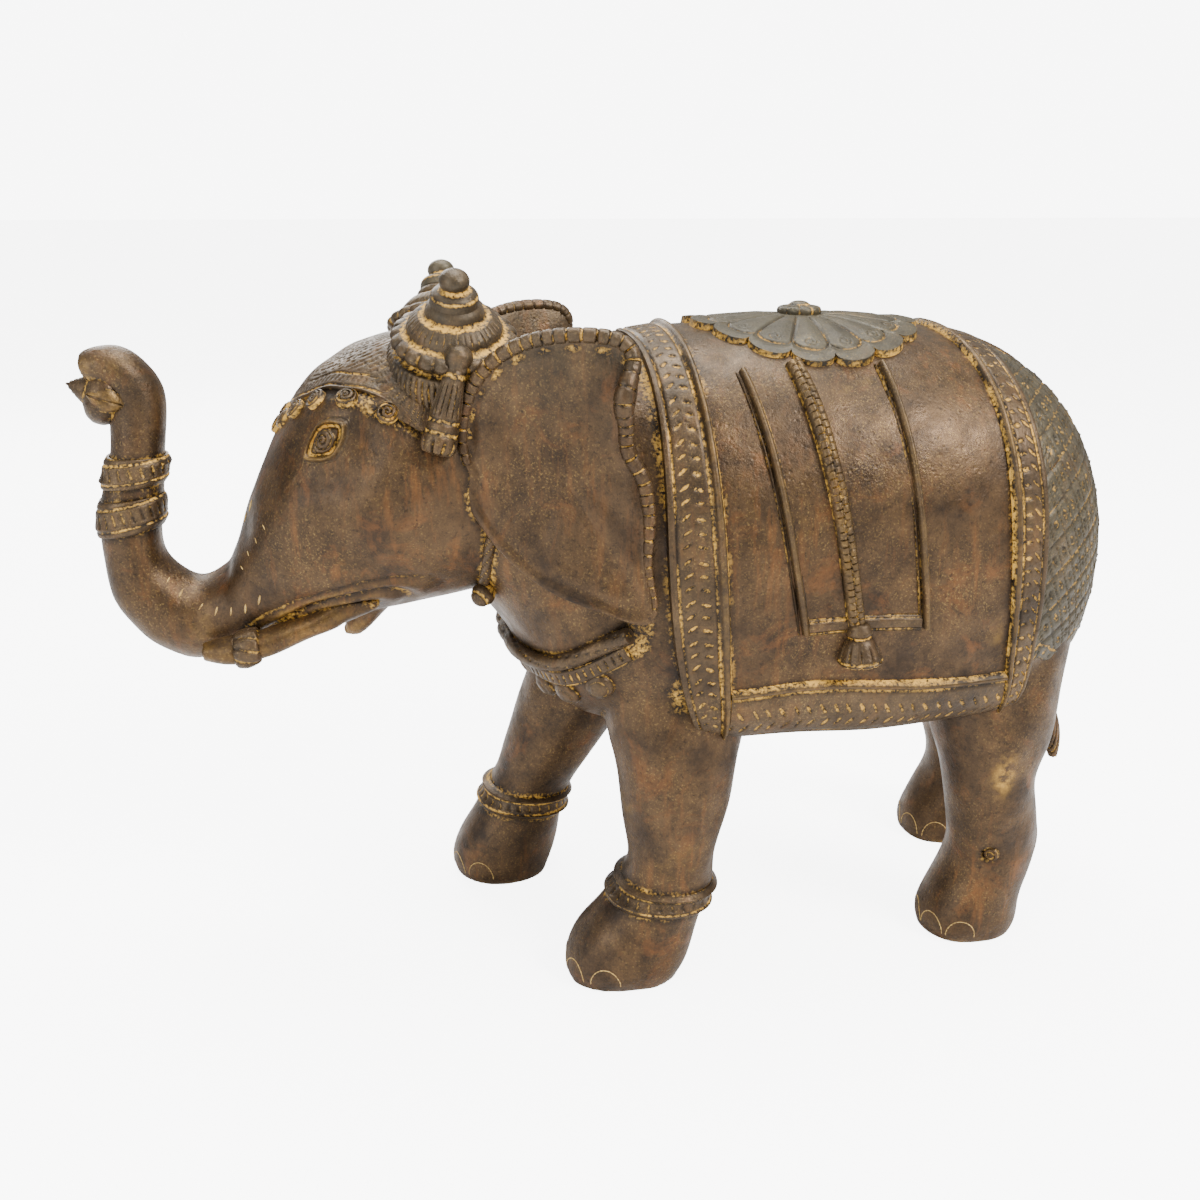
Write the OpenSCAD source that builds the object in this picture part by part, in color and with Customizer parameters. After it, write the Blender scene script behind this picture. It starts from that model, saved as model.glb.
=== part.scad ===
// Lost-wax brass elephant with a raised trunk and a chased saddle cloth.
// The head looks along -X, the left side is towards -Y, and the four soles stand on z = 0.
// The cast shapes are lofts through stations. A station is a pair of opposite outline points, the
// half-width across them and where its middle lies: [upper x, upper z, lower x, lower z, half-width, y].

/* [Figure] */
// Length from the tip of the trunk's bud to the tail, which scales the whole figure
figure_length = 290; // [240:1:340]
// Wall of the hollow torso, neck and head
wall = 4; // [3:0.5:5]

/* [Ears] */
// Thickness of the ear plates
ear_thickness = 2.6; // [2:0.2:4]
// Depth of the dish that an ear plate forms
ear_dish = 4; // [0:0.5:6]

/* [Head ornaments] */
// Radius of the hatched flange round the foot of a brow dome
dome_radius = 14.5; // [12:0.5:16]
// How far each brow dome leans outwards, in degrees
dome_lean = 25; // [15:1:32]
// Number of round studs under the browband
stud_count = 11; // [7:2:13]
// Radius of a stud
stud_radius = 2.6; // [2:0.1:3]

/* [Saddle cloth] */
// Thickness of the saddle cloth
cloth_thickness = 1.4; // [1:0.1:2]
// Height of the chased border bands above the cloth
border_height = 0.8; // [0.4:0.1:1.2]
// Width of the border bands
border_width = 13.5; // [10:0.5:14]
// Height of the cloth's lower edge above the ground
cloth_hem = 79.5; // [78:0.5:90]
// Number of petals of the saddle rosette
petal_count = 16; // [10:1:20]
// Radius of the saddle rosette
rosette_radius = 31; // [26:0.5:34]

/* [Collar and anklets] */
// Number of disc pendants under the collar
pendant_count = 9; // [5:2:11]
// Radius of the ribbed collar cord
collar_radius = 2.4; // [1.8:0.1:2.8]
// How far the anklets stand out from the front legs
anklet_height = 2.2; // [1.6:0.1:2.8]

/* [Hidden] */

drawn_length = 290;
middle_x = -3.7;
patina = "#5f4637";
gilt = "#a07a3c";
green = "#6b6a55";
clay = "#8a6a52";
round_power = 2.2;
skin_sides = 26;
core_sides = 14;
overlap = 0.05;

// The neck runs from station 0 to 4 and the torso from 4 to 15. The last number squares the belly.
body_stations = [[-42, 180, -46, 113, 32, 0, 2.2], [-35, 179, -38.5, 103, 32.5, 0, 2.3],
    [-28, 178, -33.5, 92, 34.5, 0, 2.5], [-21, 178, -27, 83, 38, 0, 2.8], [-14, 179, -18, 77, 41, 0, 3.4],
    [2, 182, 0, 75, 45.5, 0, 4], [22, 184, 22, 74, 48, 0, 4.4], [45, 185, 45, 74, 49, 0, 4.4],
    [68, 184, 68, 74, 49.5, 0, 4.4], [88, 181, 88, 74.5, 48.5, 0, 4.2], [105, 176, 103, 75, 46, 0, 4],
    [118, 168, 115, 76, 41, 0, 3.4], [127.5, 156, 124.5, 79, 34, 0, 2.8], [133, 143, 131, 86, 26, 0, 2.4],
    [136, 128, 135, 98, 16, 0, 2.2], [136.8, 114, 136.8, 111, 2, 0, 2.2]];
head_stations = [[-42, 180, -46, 113, 32, 0], [-56, 183, -56, 111, 33.5, 0], [-70, 182, -66, 109.5, 33.5, 0],
    [-84, 175, -75, 108, 31.5, 0], [-95, 162, -84, 107, 28.5, 0], [-103, 147, -93, 105, 23.5, 0],
    [-108.5, 132, -102, 102, 18, 0], [-113, 122, -111, 99, 13.8, 0]];
trunk_stations = [[-113, 122, -111, 99, 13.8, 0], [-119, 118.5, -121, 95.5, 12, 0],
    [-124, 120, -131, 98.5, 11.2, 0], [-127.5, 123.5, -139, 105.5, 10.4, 0], [-129, 127, -143.5, 114, 9.6, 0],
    [-129.3, 130, -145, 125.5, 9, 0], [-128.8, 136, -144.6, 134, 8.5, 0], [-128, 144, -143, 143, 8, 0],
    [-126.3, 152, -140.5, 152, 7.6, 0], [-124.8, 162, -138.8, 162.5, 7.3, 0], [-125.5, 171.5, -138.6, 168, 7.3, 0],
    [-130.5, 179, -139, 170, 7.4, 0], [-138, 182, -141, 171.5, 7.2, 0], [-144.5, 179.8, -143.8, 172.5, 6, 0]];
trunk_joint = 7.05;
lip_stations = [[-66, 112, -77, 113, 7, 0], [-71, 107, -80.5, 107.5, 6, 0], [-75.5, 102.5, -83, 103, 4.5, 0],
    [-79, 99.5, -83.5, 100, 2.2, 0]];
front_left_stations = [[26, 100, -15, 100, 13, -27], [27, 86, -14, 86, 14.5, -28.5], [24, 68, -11, 68, 16, -30.5],
    [20, 50, -8, 50, 14.5, -31.5], [17.5, 38, -6.5, 38, 13.5, -31.5], [17, 29, -9, 31, 13, -31],
    [14, 19, -16, 22, 13.5, -31], [12, 11, -23.5, 13, 14, -31], [10.5, 5, -26, 5, 14, -31],
    [8.5, 0, -24.5, 0, 12.5, -30.5]];
front_right_stations = [[18, 100, -26, 100, 13, 27], [15, 84, -25, 84, 15, 29], [9, 68, -29, 68, 16, 30.5],
    [-2, 50, -34, 50, 14.5, 32.5], [-10, 38, -37.5, 38, 13.5, 33.5], [-15, 29, -41, 32, 13, 34],
    [-17, 19, -46, 22, 14, 34], [-19, 11, -52, 13, 14.5, 34.5], [-20.5, 5, -53.5, 5, 15, 35],
    [-22, 0, -52, 0, 14, 35]];
rear_left_stations = [[127, 102, 80, 102, 13, -26], [124, 87, 80, 87, 14.5, -27.5], [121, 70, 85, 70, 15.5, -29.5],
    [117, 56, 89, 56, 13.5, -30], [118, 44, 92, 44, 13, -29.5], [120.5, 34, 94, 34, 12.5, -29],
    [119.5, 24, 94, 24, 13, -28], [117.5, 14, 89.5, 14, 13.5, -27.5], [118, 6, 86.5, 6, 13.5, -27.5],
    [116.5, 0, 88, 0, 12, -27]];
rear_right_stations = [[132, 102, 84, 102, 13, 26], [132, 86, 88, 86, 15, 28], [131, 70, 98, 70, 15.5, 29.5],
    [132, 56, 106, 56, 13.5, 30.5], [137, 44, 112, 44, 13, 31], [140.5, 34, 115.5, 34, 13, 31],
    [140.5, 24, 115, 24, 13, 31], [140, 14, 110, 14, 14, 31.5], [141, 6, 107, 6, 14.5, 32],
    [140, 0, 108, 0, 14, 32]];
tusk_stations = [[-74, 121, -74, 113, 4, -17], [-84, 115.5, -86, 108.5, 3.6, -18.5], [-94, 111, -96, 104.5, 3.4, -19],
    [-106, 107, -106.5, 101, 3.3, -18.5], [-114, 105.8, -114, 99.8, 3.3, -17.5], [-119, 104.5, -119, 101, 1.8, -17]];
tail_stations = [[138.5, 150, 131, 146, 3.6, 0], [141, 136, 135, 134, 3.6, 0], [142, 115, 136, 115, 3.4, 0],
    [141, 95, 135, 95, 3.2, 0], [139.5, 80, 134, 80, 2.9, 0], [138, 66, 132.6, 66, 2.8, 0]];
tuft_stations = [[138, 66, 132.6, 66, 2.8, 0], [139.4, 58, 131.4, 58, 4, 0], [139, 49, 131.8, 49, 3.6, 0],
    [136.8, 41, 134, 41, 1.4, 0]];
// An ear's outline as [x, z], from the front root over the top to the rear tip and back
ear_outline = [[-51, 148], [-51, 164], [-47, 176], [-38, 184], [-27, 187], [-15, 186], [-9, 178], [-8, 160],
    [-5, 142], [-7, 127], [-5, 113], [-17, 117], [-29, 121], [-40, 129], [-47, 138]];
ear_middle = [-27, 152];
ear_root_y = 32;
ear_back_y = 50;

// Stations and skins

function spline(stations, u) =
    let (last = len(stations) - 1, i = max(min(floor(u), last - 1), 0), t = u - i,
         a = stations[max(i - 1, 0)], b = stations[i], c = stations[i + 1], d = stations[min(i + 2, last)])
    0.5 * (2 * b + (c - a) * t + (2 * a - 5 * b + 4 * c - d) * t * t + (3 * b - a - 3 * c + d) * t * t * t);

// A point of a station's outline: 0 degrees is the upper point, 90 the +Y side, 180 the lower point
function outline(station, angle) =
    let (power = abs(angle) > 90 && len(station) > 6 ? station[6] : round_power,
         reach = pow(pow(abs(cos(angle)), power) + pow(abs(sin(angle)), power), -1 / power),
         up = cos(angle) * reach)
    [(station[0] + station[2]) / 2 + (station[0] - station[2]) / 2 * up, station[5] + station[4] * sin(angle) * reach,
     (station[1] + station[3]) / 2 + (station[1] - station[3]) / 2 * up];

// A station drawn in by a margin all round, or let out where the margin is negative
function inset(station, margin) =
    let (rise = [station[0] - station[2], station[1] - station[3]], cut = rise * min(margin / norm(rise), 0.45))
    [station[0] - cut[0], station[1] - cut[1], station[2] + cut[0], station[3] + cut[1],
     max(station[4] - margin, 0.5), station[5], len(station) > 6 ? station[6] : round_power];

function ring(station, count) =
    [for (k = [0:count - 1]) outline(station, k > count / 2 ? 360 * k / count - 360 : 360 * k / count)];

function rings(stations, from, to, steps, count = skin_sides, margin = 0) =
    [for (i = [0:steps]) ring(inset(spline(stations, from + (to - from) * i / steps), margin), count)];

function flat(lists) = [for (l = lists) each l];

function sum(list) = [for (item = list) 1] * list;

function centre(loop) = sum(loop) / len(loop);

// Whether a loop runs anticlockwise as seen from further along its row of loops
function backwards(loop, next) =
    let (c = centre(loop), last = len(loop) - 1)
    (centre(next) - c) * sum([for (k = [0:last]) cross(loop[k] - c, loop[k == last ? 0 : k + 1] - c)]) > 0;

function reversed(list) = [for (k = [len(list) - 1:-1:0]) list[k]];

function oriented(faces, turned) = turned ? [for (f = faces) reversed(f)] : faces;

function side_faces(loop_count, count, total) =
    [for (i = [0:loop_count - 2]) for (k = [0:count - 1])
        let (a = i * count + k, b = i * count + (k + 1) % count)
        each [[a, b, (b + count) % total], [a, (b + count) % total, (a + count) % total]]];

// A closed skin through loops of equal length, with a flat end at each end of the row
module loft(loops) {
    count = len(loops[0]);
    total = len(loops) * count;
    ends = [[for (k = [count - 1:-1:0]) k], [for (k = [0:count - 1]) total - count + k]];
    faces = concat(side_faces(len(loops), count, total), ends);
    polyhedron(flat(loops), oriented(faces, backwards(loops[0], loops[len(loops) - 1])));
}

// A skin through a row of loops that comes round to its first loop again
module wreath(loops) {
    count = len(loops[0]);
    total = len(loops) * count;
    faces = side_faces(len(loops) + 1, count, total);
    polyhedron(flat(loops), oriented(faces, backwards(loops[0], loops[1])));
}

// A ring round a loft, whose height over the skin runs through a list of heights
module sleeve(stations, from, to, heights, count = 20) {
    last = len(heights) - 1;
    outer = [for (i = [0:last]) ring(inset(spline(stations, from + (to - from) * i / last), -heights[i]), count)];
    inner = [for (i = [last:-1:0]) ring(spline(stations, from + (to - from) * i / last), count)];
    wreath(concat(outer, inner));
}

// A cord of round section along a list of points
module cord(points, radius, count = 8) {
    last = len(points) - 1;
    loft([for (i = [0:last])
        let (step = points[min(i + 1, last)] - points[max(i - 1, 0)], ahead = step / norm(step),
             side = cross(ahead, [0.1, 0.9, 0.4]), across = side / norm(side), up = cross(across, ahead))
        [for (k = [0:count - 1]) points[i] + radius * (across * cos(360 * k / count) + up * sin(360 * k / count))]]);
}

// A point over a loft's skin, lifted along the outward normal
function over(stations, u, angle, height) =
    let (du = 0.02, da = 1, at = min(max(u, du), len(stations) - 1 - du),
         along = outline(spline(stations, at + du), angle) - outline(spline(stations, at - du), angle),
         round_way = outline(spline(stations, at), angle + da) - outline(spline(stations, at), angle - da),
         way = cross(round_way, along), out = stations[0][0] < stations[3][0] ? -1 : 1)
    outline(spline(stations, u), angle) + height * out * way / norm(way);

function over_body(u, angle, height) = over(body_stations, u, angle, height);

// The angle at which the body's skin is at a height z above the ground
function angle_at(u, z) =
    let (s = spline(body_stations, u), share = (2 * z - s[1] - s[3]) / (s[1] - s[3]),
         power = share < 0 ? s[6] : round_power,
         slope = pow(max(pow(abs(share), -power) - 1, 0), 1 / power))
    share < 0 ? 180 - atan(slope) : atan(slope);

// A curved plate between two grids of points of the same size
module plate(outer, inner) {
    rows = len(outer);
    cols = len(outer[0]);
    total = rows * cols;
    skin = [for (i = [0:rows - 2]) for (k = [0:cols - 2])
        let (a = i * cols + k, b = a + 1, c = b + cols, d = a + cols)
        each [[a, b, c], [a, c, d], [total + a, total + c, total + b], [total + a, total + d, total + c]]];
    rim = concat([for (k = [0:cols - 1]) k], [for (i = [1:rows - 1]) (i + 1) * cols - 1],
        [for (k = [cols - 2:-1:0]) total - cols + k], [for (i = [rows - 2:-1:1]) i * cols]);
    edge = [for (j = [0:len(rim) - 1]) let (a = rim[j], b = rim[(j + 1) % len(rim)])
        each [[b, a, total + a], [b, total + a, total + b]]];
    way = cross(outer[0][1] - outer[0][0], outer[1][1] - outer[0][0]) * (outer[0][0] - inner[0][0]);
    polyhedron(concat(flat(outer), flat(inner)), oriented(concat(skin, edge), way > 0));
}

// A plate over a loft between two heights. at(s, t) gives [u, angle] for s and t from 0 to 1.
module skin_plate(stations, at, low, high, rows, cols) {
    grid = function(h) [for (i = [0:rows]) [for (k = [0:cols])
        let (q = at(i / rows, k / cols)) over(stations, q[0], q[1], h)]];
    plate(grid(high), grid(low));
}

// Joins a boolean of skins into one mesh
module meshed() {
    resize([0, 0, 0]) children();
}

// The right-hand twin of a left-hand shape
module sided(side) {
    mirror([0, side == "right" ? 1 : 0, 0]) children();
}

// Centres the figure on its length and brings it to its real size
module placed() {
    scale(figure_length / drawn_length) translate([-middle_x, 0, 0]) children();
}

// Stands a shape on a point with its +Z along a direction
module aimed(at, way) {
    translate(at) rotate([0, acos(way[2] / norm(way)), atan2(way[1], way[0])]) children();
}

// The casting

module torso_body() {
    loft(rings(body_stations, 4, 15, 20));
}

module neck_body() {
    loft(rings(body_stations, 0, 4, 6));
}

module head_body() {
    loft(rings(head_stations, 0, 7, 14));
}

module trunk_body() {
    loft(rings(trunk_stations, 0, 13, 26, 14));
}

module torso_hollow(margin) {
    loft(rings(body_stations, 3.95, 13.4, 12, core_sides, margin));
}

module neck_hollow(margin) {
    loft(rings(body_stations, -0.05, 4.05, 4, core_sides, margin));
}

module head_hollow(margin) {
    loft(rings(head_stations, -0.05, 5.2, 7, core_sides, margin));
}

module torso() {
    color(patina) placed() meshed() difference() {
        torso_body();
        torso_hollow(wall);
    }
}

module neck() {
    color(patina) placed() meshed() difference() {
        neck_body();
        neck_hollow(wall);
    }
}

module head() {
    color(patina) placed() meshed() difference() {
        head_body();
        head_hollow(wall);
    }
}

module clay_core() {
    color(clay) placed() meshed() union() {
        intersection() {
            torso_hollow(wall + 0.3);
            translate([-15, -60, 0]) cube([200, 120, 200]);
        }
        neck_hollow(wall + 0.3);
        head_hollow(wall + 0.3);
    }
}

module trunk_lower() {
    color(patina) placed() loft(rings(trunk_stations, 0, trunk_joint, 13, 16));
}

module trunk_upper() {
    color(patina) placed() loft(rings(trunk_stations, trunk_joint, 13, 12, 16));
}

module trunk_ring_lower() {
    color(gilt) placed() sleeve(trunk_stations, 5.75, 6.85, [0.8, 1.8, 1.3, 1.8, 0.8], 18);
}

module trunk_ring_upper() {
    color(gilt) placed() sleeve(trunk_stations, 7.2, 8.1, [0.8, 1.8, 1.3, 1.8, 0.8], 18);
}

module trunk_bud() {
    color(patina) placed() meshed() difference() {
        aimed([-140, 0, 170.5], [-1, 0, 0.35]) rotate_extrude($fn = 16) polygon([[0, -5.5], [4, -5], [6, -3],
            [6.6, 0], [5.6, 3], [3.8, 4.4], [3.8, 5.2], [2.6, 5.8], [2.4, 6.8], [1.4, 7.2], [0, 9]]);
        trunk_body();
    }
}

module lower_lip() {
    color(patina) placed() meshed() difference() {
        loft(rings(lip_stations, 0, 3, 5, 12));
        head_body();
    }
}

module leg(stations) {
    color(patina) placed() meshed() difference() {
        loft(rings(stations, 0, 9, 16, 18));
        torso_body();
        if (stations == rear_left_stations) pin_hole();
    }
}

module leg_front_left() { leg(front_left_stations); }
module leg_front_right() { leg(front_right_stations); }
module leg_rear_left() { leg(rear_left_stations); }
module leg_rear_right() { leg(rear_right_stations); }

// A plug that fills the hole of a core pin, let into the outside of the near hind leg
pin_at = [101, -41.2, 31];
pin_radius = 1.8;
pin_length = 6;

module pin_hole() {
    aimed(pin_at, [0, 1, 0]) cylinder(r = pin_radius, h = pin_length, $fn = 24);
}

module core_pin() {
    color(gilt) placed() aimed(pin_at, [0, 1, 0]) cylinder(r = pin_radius, h = pin_length, $fn = 24);
}

// Ears, eyes and tusks

function ear_side(p) =
    let (t = (p[0] + 51) / 46)
    -(ear_root_y + (ear_back_y - ear_root_y) * (1 - pow(1 - min(max(t, 0), 1), 1.6)));

function ear_loop(spread, depth) =
    let (count = 26, last = len(ear_outline))
    [for (k = [0:count - 1])
        let (u = k * last / count, i = floor(u), t = u - i, a = ear_outline[(i + last - 1) % last],
             b = ear_outline[i], c = ear_outline[(i + 1) % last], d = ear_outline[(i + 2) % last],
             edge = 0.5 * (2 * b + (c - a) * t + (2 * a - 5 * b + 4 * c - d) * t * t
                 + (3 * b - a - 3 * c + d) * t * t * t),
             p = ear_middle + (edge - ear_middle) * spread)
        [p[0], ear_side(p) + ear_dish * (1 - pow(spread, 2)) + depth, p[1]]];

module ear() {
    spreads = [0.05, 0.5, 0.8, 0.96];
    outer = [for (s = spreads) ear_loop(s, 0)];
    rim = [ear_loop(1, ear_thickness * 0.3), ear_loop(1, ear_thickness * 0.7)];
    inner = [for (s = reversed(spreads)) ear_loop(s, ear_thickness)];
    meshed() difference() {
        loft(concat(outer, rim, inner));
        head_body();
        neck_body();
    }
}

module ear_left() { color(patina) placed() ear(); }
module ear_right() { color(patina) placed() sided("right") ear(); }

eye_u = 3.2;
eye_angle = -58;
eye_length = 11.5;
eye_width = 8;

module almond(length, width) {
    radius = (length * length + width * width) / (4 * width);
    intersection_for(side = [-1, 1])
        translate([0, side * (radius - width / 2)]) circle(r = radius, $fn = 48);
}

module eye() {
    at = over(head_stations, eye_u, eye_angle, -0.9);
    way = over(head_stations, eye_u, eye_angle, 1) - at;
    meshed() difference() {
        aimed(at, way) rotate([0, 0, 76]) {
            linear_extrude(1.4) almond(eye_length, eye_width);
            linear_extrude(2.2) difference() {
                almond(eye_length, eye_width);
                almond(eye_length - 2.4, eye_width - 1.8);
            }
            rotate_extrude($fn = 14) polygon([[0, 0], [2, 0], [2, 1.8], [1.4, 2.4], [0, 2.6]]);
        }
        head_body();
    }
}

module eye_left() { color(gilt) placed() eye(); }
module eye_right() { color(gilt) placed() sided("right") eye(); }

module tusk() {
    meshed() difference() {
        loft(rings(tusk_stations, 0, 3.6, 6, 12));
        head_body();
        trunk_body();
    }
}

module tusk_cap() {
    meshed() difference() {
        loft(rings(tusk_stations, 3.6, 5, 4, 12));
        trunk_body();
    }
}

module tusk_ferrule() {
    meshed() difference() {
        sleeve(tusk_stations, 2.9, 3.5, [0.8, 1.6, 0.8], 12);
        trunk_body();
    }
}

module tusk_left() { color(patina) placed() tusk(); }
module tusk_right() { color(patina) placed() sided("right") tusk(); }
module tusk_ferrule_left() { color(gilt) placed() tusk_ferrule(); }
module tusk_ferrule_right() { color(gilt) placed() sided("right") tusk_ferrule(); }
module tusk_cap_left() { color(patina) placed() tusk_cap(); }
module tusk_cap_right() { color(patina) placed() sided("right") tusk_cap(); }

// Ornaments of the head. The browband runs from ear to ear over the brow.

brow_reach = 66;

function brow(t) = [3.95 - 2.6 * pow(abs(t), 1.6), brow_reach * t];

module head_cap() {
    at = function(s, t) [let (q = brow(2 * t - 1)) q[0] + (0.9 - q[0]) * s, brow_reach * (2 * t - 1)];
    color(patina) placed() meshed() difference() {
        skin_plate(head_stations, at, -0.4, 1, 5, 10);
        head_body();
        dome();
        sided("right") dome();
    }
}

module browband() {
    points = [for (i = [0:16]) let (q = brow(i / 8 - 1)) over(head_stations, q[0] + 0.06, q[1], 0.9)];
    color(gilt) placed() meshed() difference() {
        cord(points, 1.5);
        head_body();
    }
}

module brow_studs() {
    color(gilt) placed() meshed() difference() {
        for (i = [0:stud_count - 1]) {
            q = brow(1.8 * i / (stud_count - 1) - 0.9);
            at = over(head_stations, q[0] + 0.42, q[1], -0.8);
            aimed(at, over(head_stations, q[0] + 0.42, q[1], 1) - at) rotate_extrude($fn = 10)
                polygon([[0, 0], [stud_radius, 0], [stud_radius, 1.6], [stud_radius - 0.8, 2.2], [0, 1.6]]);
        }
        head_body();
    }
}

dome_at = [-50.5, -17, 179.4];

module over_brow() {
    translate(dome_at) rotate([dome_lean, 0, 0]) children();
}

module dome() {
    r = dome_radius;
    over_brow() rotate_extrude($fn = 22) polygon([[0, -7], [r - 1, -7], [r, -1], [r, 3], [r - 1.2, 4.2],
        [r - 0.4, 5.6], [r - 1.2, 8], [r - 3, 8.8], [r - 3.2, 10], [r - 5, 12.5], [r - 7, 13.2], [r - 7, 14],
        [r - 10, 17], [0, 17.5]]);
}

module brow_dome() {
    meshed() difference() {
        dome();
        head_body();
        translate([-80, -overlap / 2, 140]) cube([60, 60, 80]);
    }
}

module dome_finial() {
    over_brow() translate([0, 0, 17.5]) rotate_extrude($fn = 24) polygon([[0, 0], [2.8, 0], [2.4, 1], [3.6, 2.2],
        [3.9, 3.6], [3, 5], [1.5, 5.7], [1.5, 6.3], [0, 7]]);
}

module brow_dome_left() { color(gilt) placed() brow_dome(); }
module brow_dome_right() { color(gilt) placed() sided("right") brow_dome(); }
module dome_finial_left() { color(green) placed() dome_finial(); }
module dome_finial_right() { color(green) placed() sided("right") dome_finial(); }

module ear_drop() {
    color(gilt) placed() meshed() difference() {
        union() {
            translate([-50.2, -31, 179]) sphere(r = 3.6, $fn = 14);
            aimed([-51, -32, 176.5], [-0.36, -0.2, -1]) rotate_extrude($fn = 14) polygon([[0, 0], [2, 0],
                [2.6, 4], [3.4, 12], [3.9, 13], [3.5, 14], [3.9, 15], [3.7, 16], [4.1, 19], [0, 20]]);
        }
        head_body();
    }
}

module ear_drop_left() { ear_drop(); }
module ear_drop_right() { mirror([0, 1, 0]) ear_drop(); }

// Cords round the throat and the chest

throat_u = 0.2;

module throat_cord() {
    near = [for (a = [100:8:180]) over_body(throat_u, a, 0.9)];
    far = [for (a = [-172:8:-100]) over_body(throat_u, a, 0.9)];
    color(gilt) placed() meshed() difference() {
        cord(concat(near, far), 1.5);
        neck_body();
        head_body();
    }
}

module throat_pendants() {
    color(gilt) placed() meshed() difference() {
        for (side = [-1, 1]) translate(over_body(throat_u + 0.1, side * 142, 2.6)) sphere(r = 3, $fn = 12);
        neck_body();
        head_body();
    }
}

// A spot on the chest line, t running from -1 to 1 round the front, dropped below the collar cord
function chest(t, drop) =
    let (start = 1.4 + 0.09 * drop, u = start + (4.7 - start) * t * t, z = 98 - drop + 15 * pow(t, 6))
    [u, sign(t) * angle_at(u, z)];

module collar_cord() {
    points = [for (i = [-11:11]) let (q = chest((i + 0.01) / 11, 0)) over_body(q[0], q[1], collar_radius * 0.6)];
    color(gilt) placed() meshed() difference() {
        cord(points, collar_radius);
        neck_body();
        torso_body();
    }
}

module collar_band() {
    at = function(s, t) chest(2 * t - 1, 2.4 + 5 * s);
    color(gilt) placed() meshed() difference() {
        skin_plate(body_stations, at, -0.5, 1.4, 1, 21);
        neck_body();
        torso_body();
    }
}

module collar_pendants() {
    color(gilt) placed() meshed() difference() {
        for (i = [0:pendant_count - 1]) {
            q = chest(1.7 * (i + 0.01) / (pendant_count - 1) - 0.85, 11);
            at = over_body(q[0], q[1], -0.8);
            aimed(at, over_body(q[0], q[1], 1) - at) rotate_extrude($fn = 10)
                polygon([[0, 0], [3.3, 0], [3.3, 1.8], [2.2, 2.8], [0, 2.6]]);
        }
        neck_body();
        torso_body();
        for (s = [front_left_stations, front_right_stations]) loft(rings(s, 0, 9, 16, 18));
    }
}

module anklet(stations) {
    h = anklet_height;
    sleeve(stations, 4.85, 5.65, [0.4, h, h * 0.5, h * 0.5, h, 0.4], 20);
}

module anklet_left() { color(gilt) placed() anklet(front_left_stations); }
module anklet_right() { color(gilt) placed() anklet(front_right_stations); }

// Saddle cloth and what lies on it. v runs from 0 on the spine to 1 at the hem.

border_u = border_width / 20;

function cloth_front(v) = 4.72 + 0.48 * pow(v, 1.3);

function cloth_rear(v) = 9.35 + 0.75 * pow(v, 0.7);

function cloth_spot(u, side, v, hem = cloth_hem) = [u, side * angle_at(u, hem) * v];

module over_cloth(at, low, high, rows, cols) {
    meshed() difference() {
        skin_plate(body_stations, at, low, high, rows, cols);
        for (s = [front_left_stations, front_right_stations, rear_left_stations, rear_right_stations])
            loft(rings(s, 0, 3, 5, 18));
    }
}

module saddle_cloth() {
    at = function(s, t) let (w = 2 * t - 1, v = abs(w), u = cloth_front(v) + (cloth_rear(v) - cloth_front(v)) * s)
        cloth_spot(u, sign(w), v);
    color(patina) placed() over_cloth(at, 0, cloth_thickness, 11, 26);
}

module cloth_border_front() {
    at = function(s, t) let (w = 2 * t - 1, u = cloth_front(abs(w)) + border_u * s) cloth_spot(u, sign(w), abs(w));
    color(gilt) placed() over_cloth(at, cloth_thickness, cloth_thickness + border_height, 1, 26);
}

module cloth_border_rear() {
    at = function(s, t) let (w = 2 * t - 1, u = cloth_rear(abs(w)) - border_u * s) cloth_spot(u, sign(w), abs(w));
    color(gilt) placed() over_cloth(at, cloth_thickness, cloth_thickness + border_height, 1, 26);
}

module cloth_border_side(side) {
    at = function(s, t) let (v = 1 - 0.12 * s, from = cloth_front(v) + border_u, to = cloth_rear(v) - border_u,
        u = from + (to - from) * t) cloth_spot(u, side, v);
    color(gilt) placed() over_cloth(at, cloth_thickness, cloth_thickness + border_height, 1, 10);
}

module cloth_border_left() { cloth_border_side(-1); }
module cloth_border_right() { cloth_border_side(1); }

rib_radius = 1.2;
rib_lift = cloth_thickness + rib_radius * 0.9;

// A U of raised rib that frames the middle of each side, open towards the rosette
module panel_rib(side) {
    down = [for (v = [0.3:0.1:0.8]) cloth_spot(5.7 + 1.1 * v, side, v)];
    along = [for (u = [6.75:0.28:7.87]) cloth_spot(u, side, 0.84)];
    up = [for (v = [0.8:-0.1:0.3]) cloth_spot(7.4 + 0.78 * v, side, v)];
    color(gilt) placed() cord([for (q = concat(down, along, up)) over_body(q[0], q[1], rib_lift)], rib_radius, 6);
}

module panel_rib_left() { panel_rib(-1); }
module panel_rib_right() { panel_rib(1); }

rosette_u = 7.1;

function rosette_loop(spread, height) =
    let (count = 3 * petal_count)
    [for (k = [0:count - 1])
        let (turn = 360 * k / count, scallop = 1 - 0.07 * spread * (1 + cos(petal_count * turn)),
             r = rosette_radius * spread * scallop)
        over_body(rosette_u + r * cos(turn) / 22.5, r * sin(turn) / 0.86, height)];

module saddle_rosette() {
    low = cloth_thickness;
    spreads = [0.04, 0.5];
    color(green) placed() loft(concat([for (s = spreads) rosette_loop(s, low + 1.2)],
        [rosette_loop(0.95, low + 2), rosette_loop(1, low + 1.6), rosette_loop(1, low)],
        [for (s = reversed(spreads)) rosette_loop(s, low)]));
}

module rosette_boss() {
    top = over_body(rosette_u, 0, cloth_thickness + 1.2);
    color(green) placed() translate(top) rotate_extrude($fn = 32)
        polygon([[0, 0], [6, 0], [5.6, 1.2], [3, 1.4], [2.6, 2.4], [0, 2.8]]);
}

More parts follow.
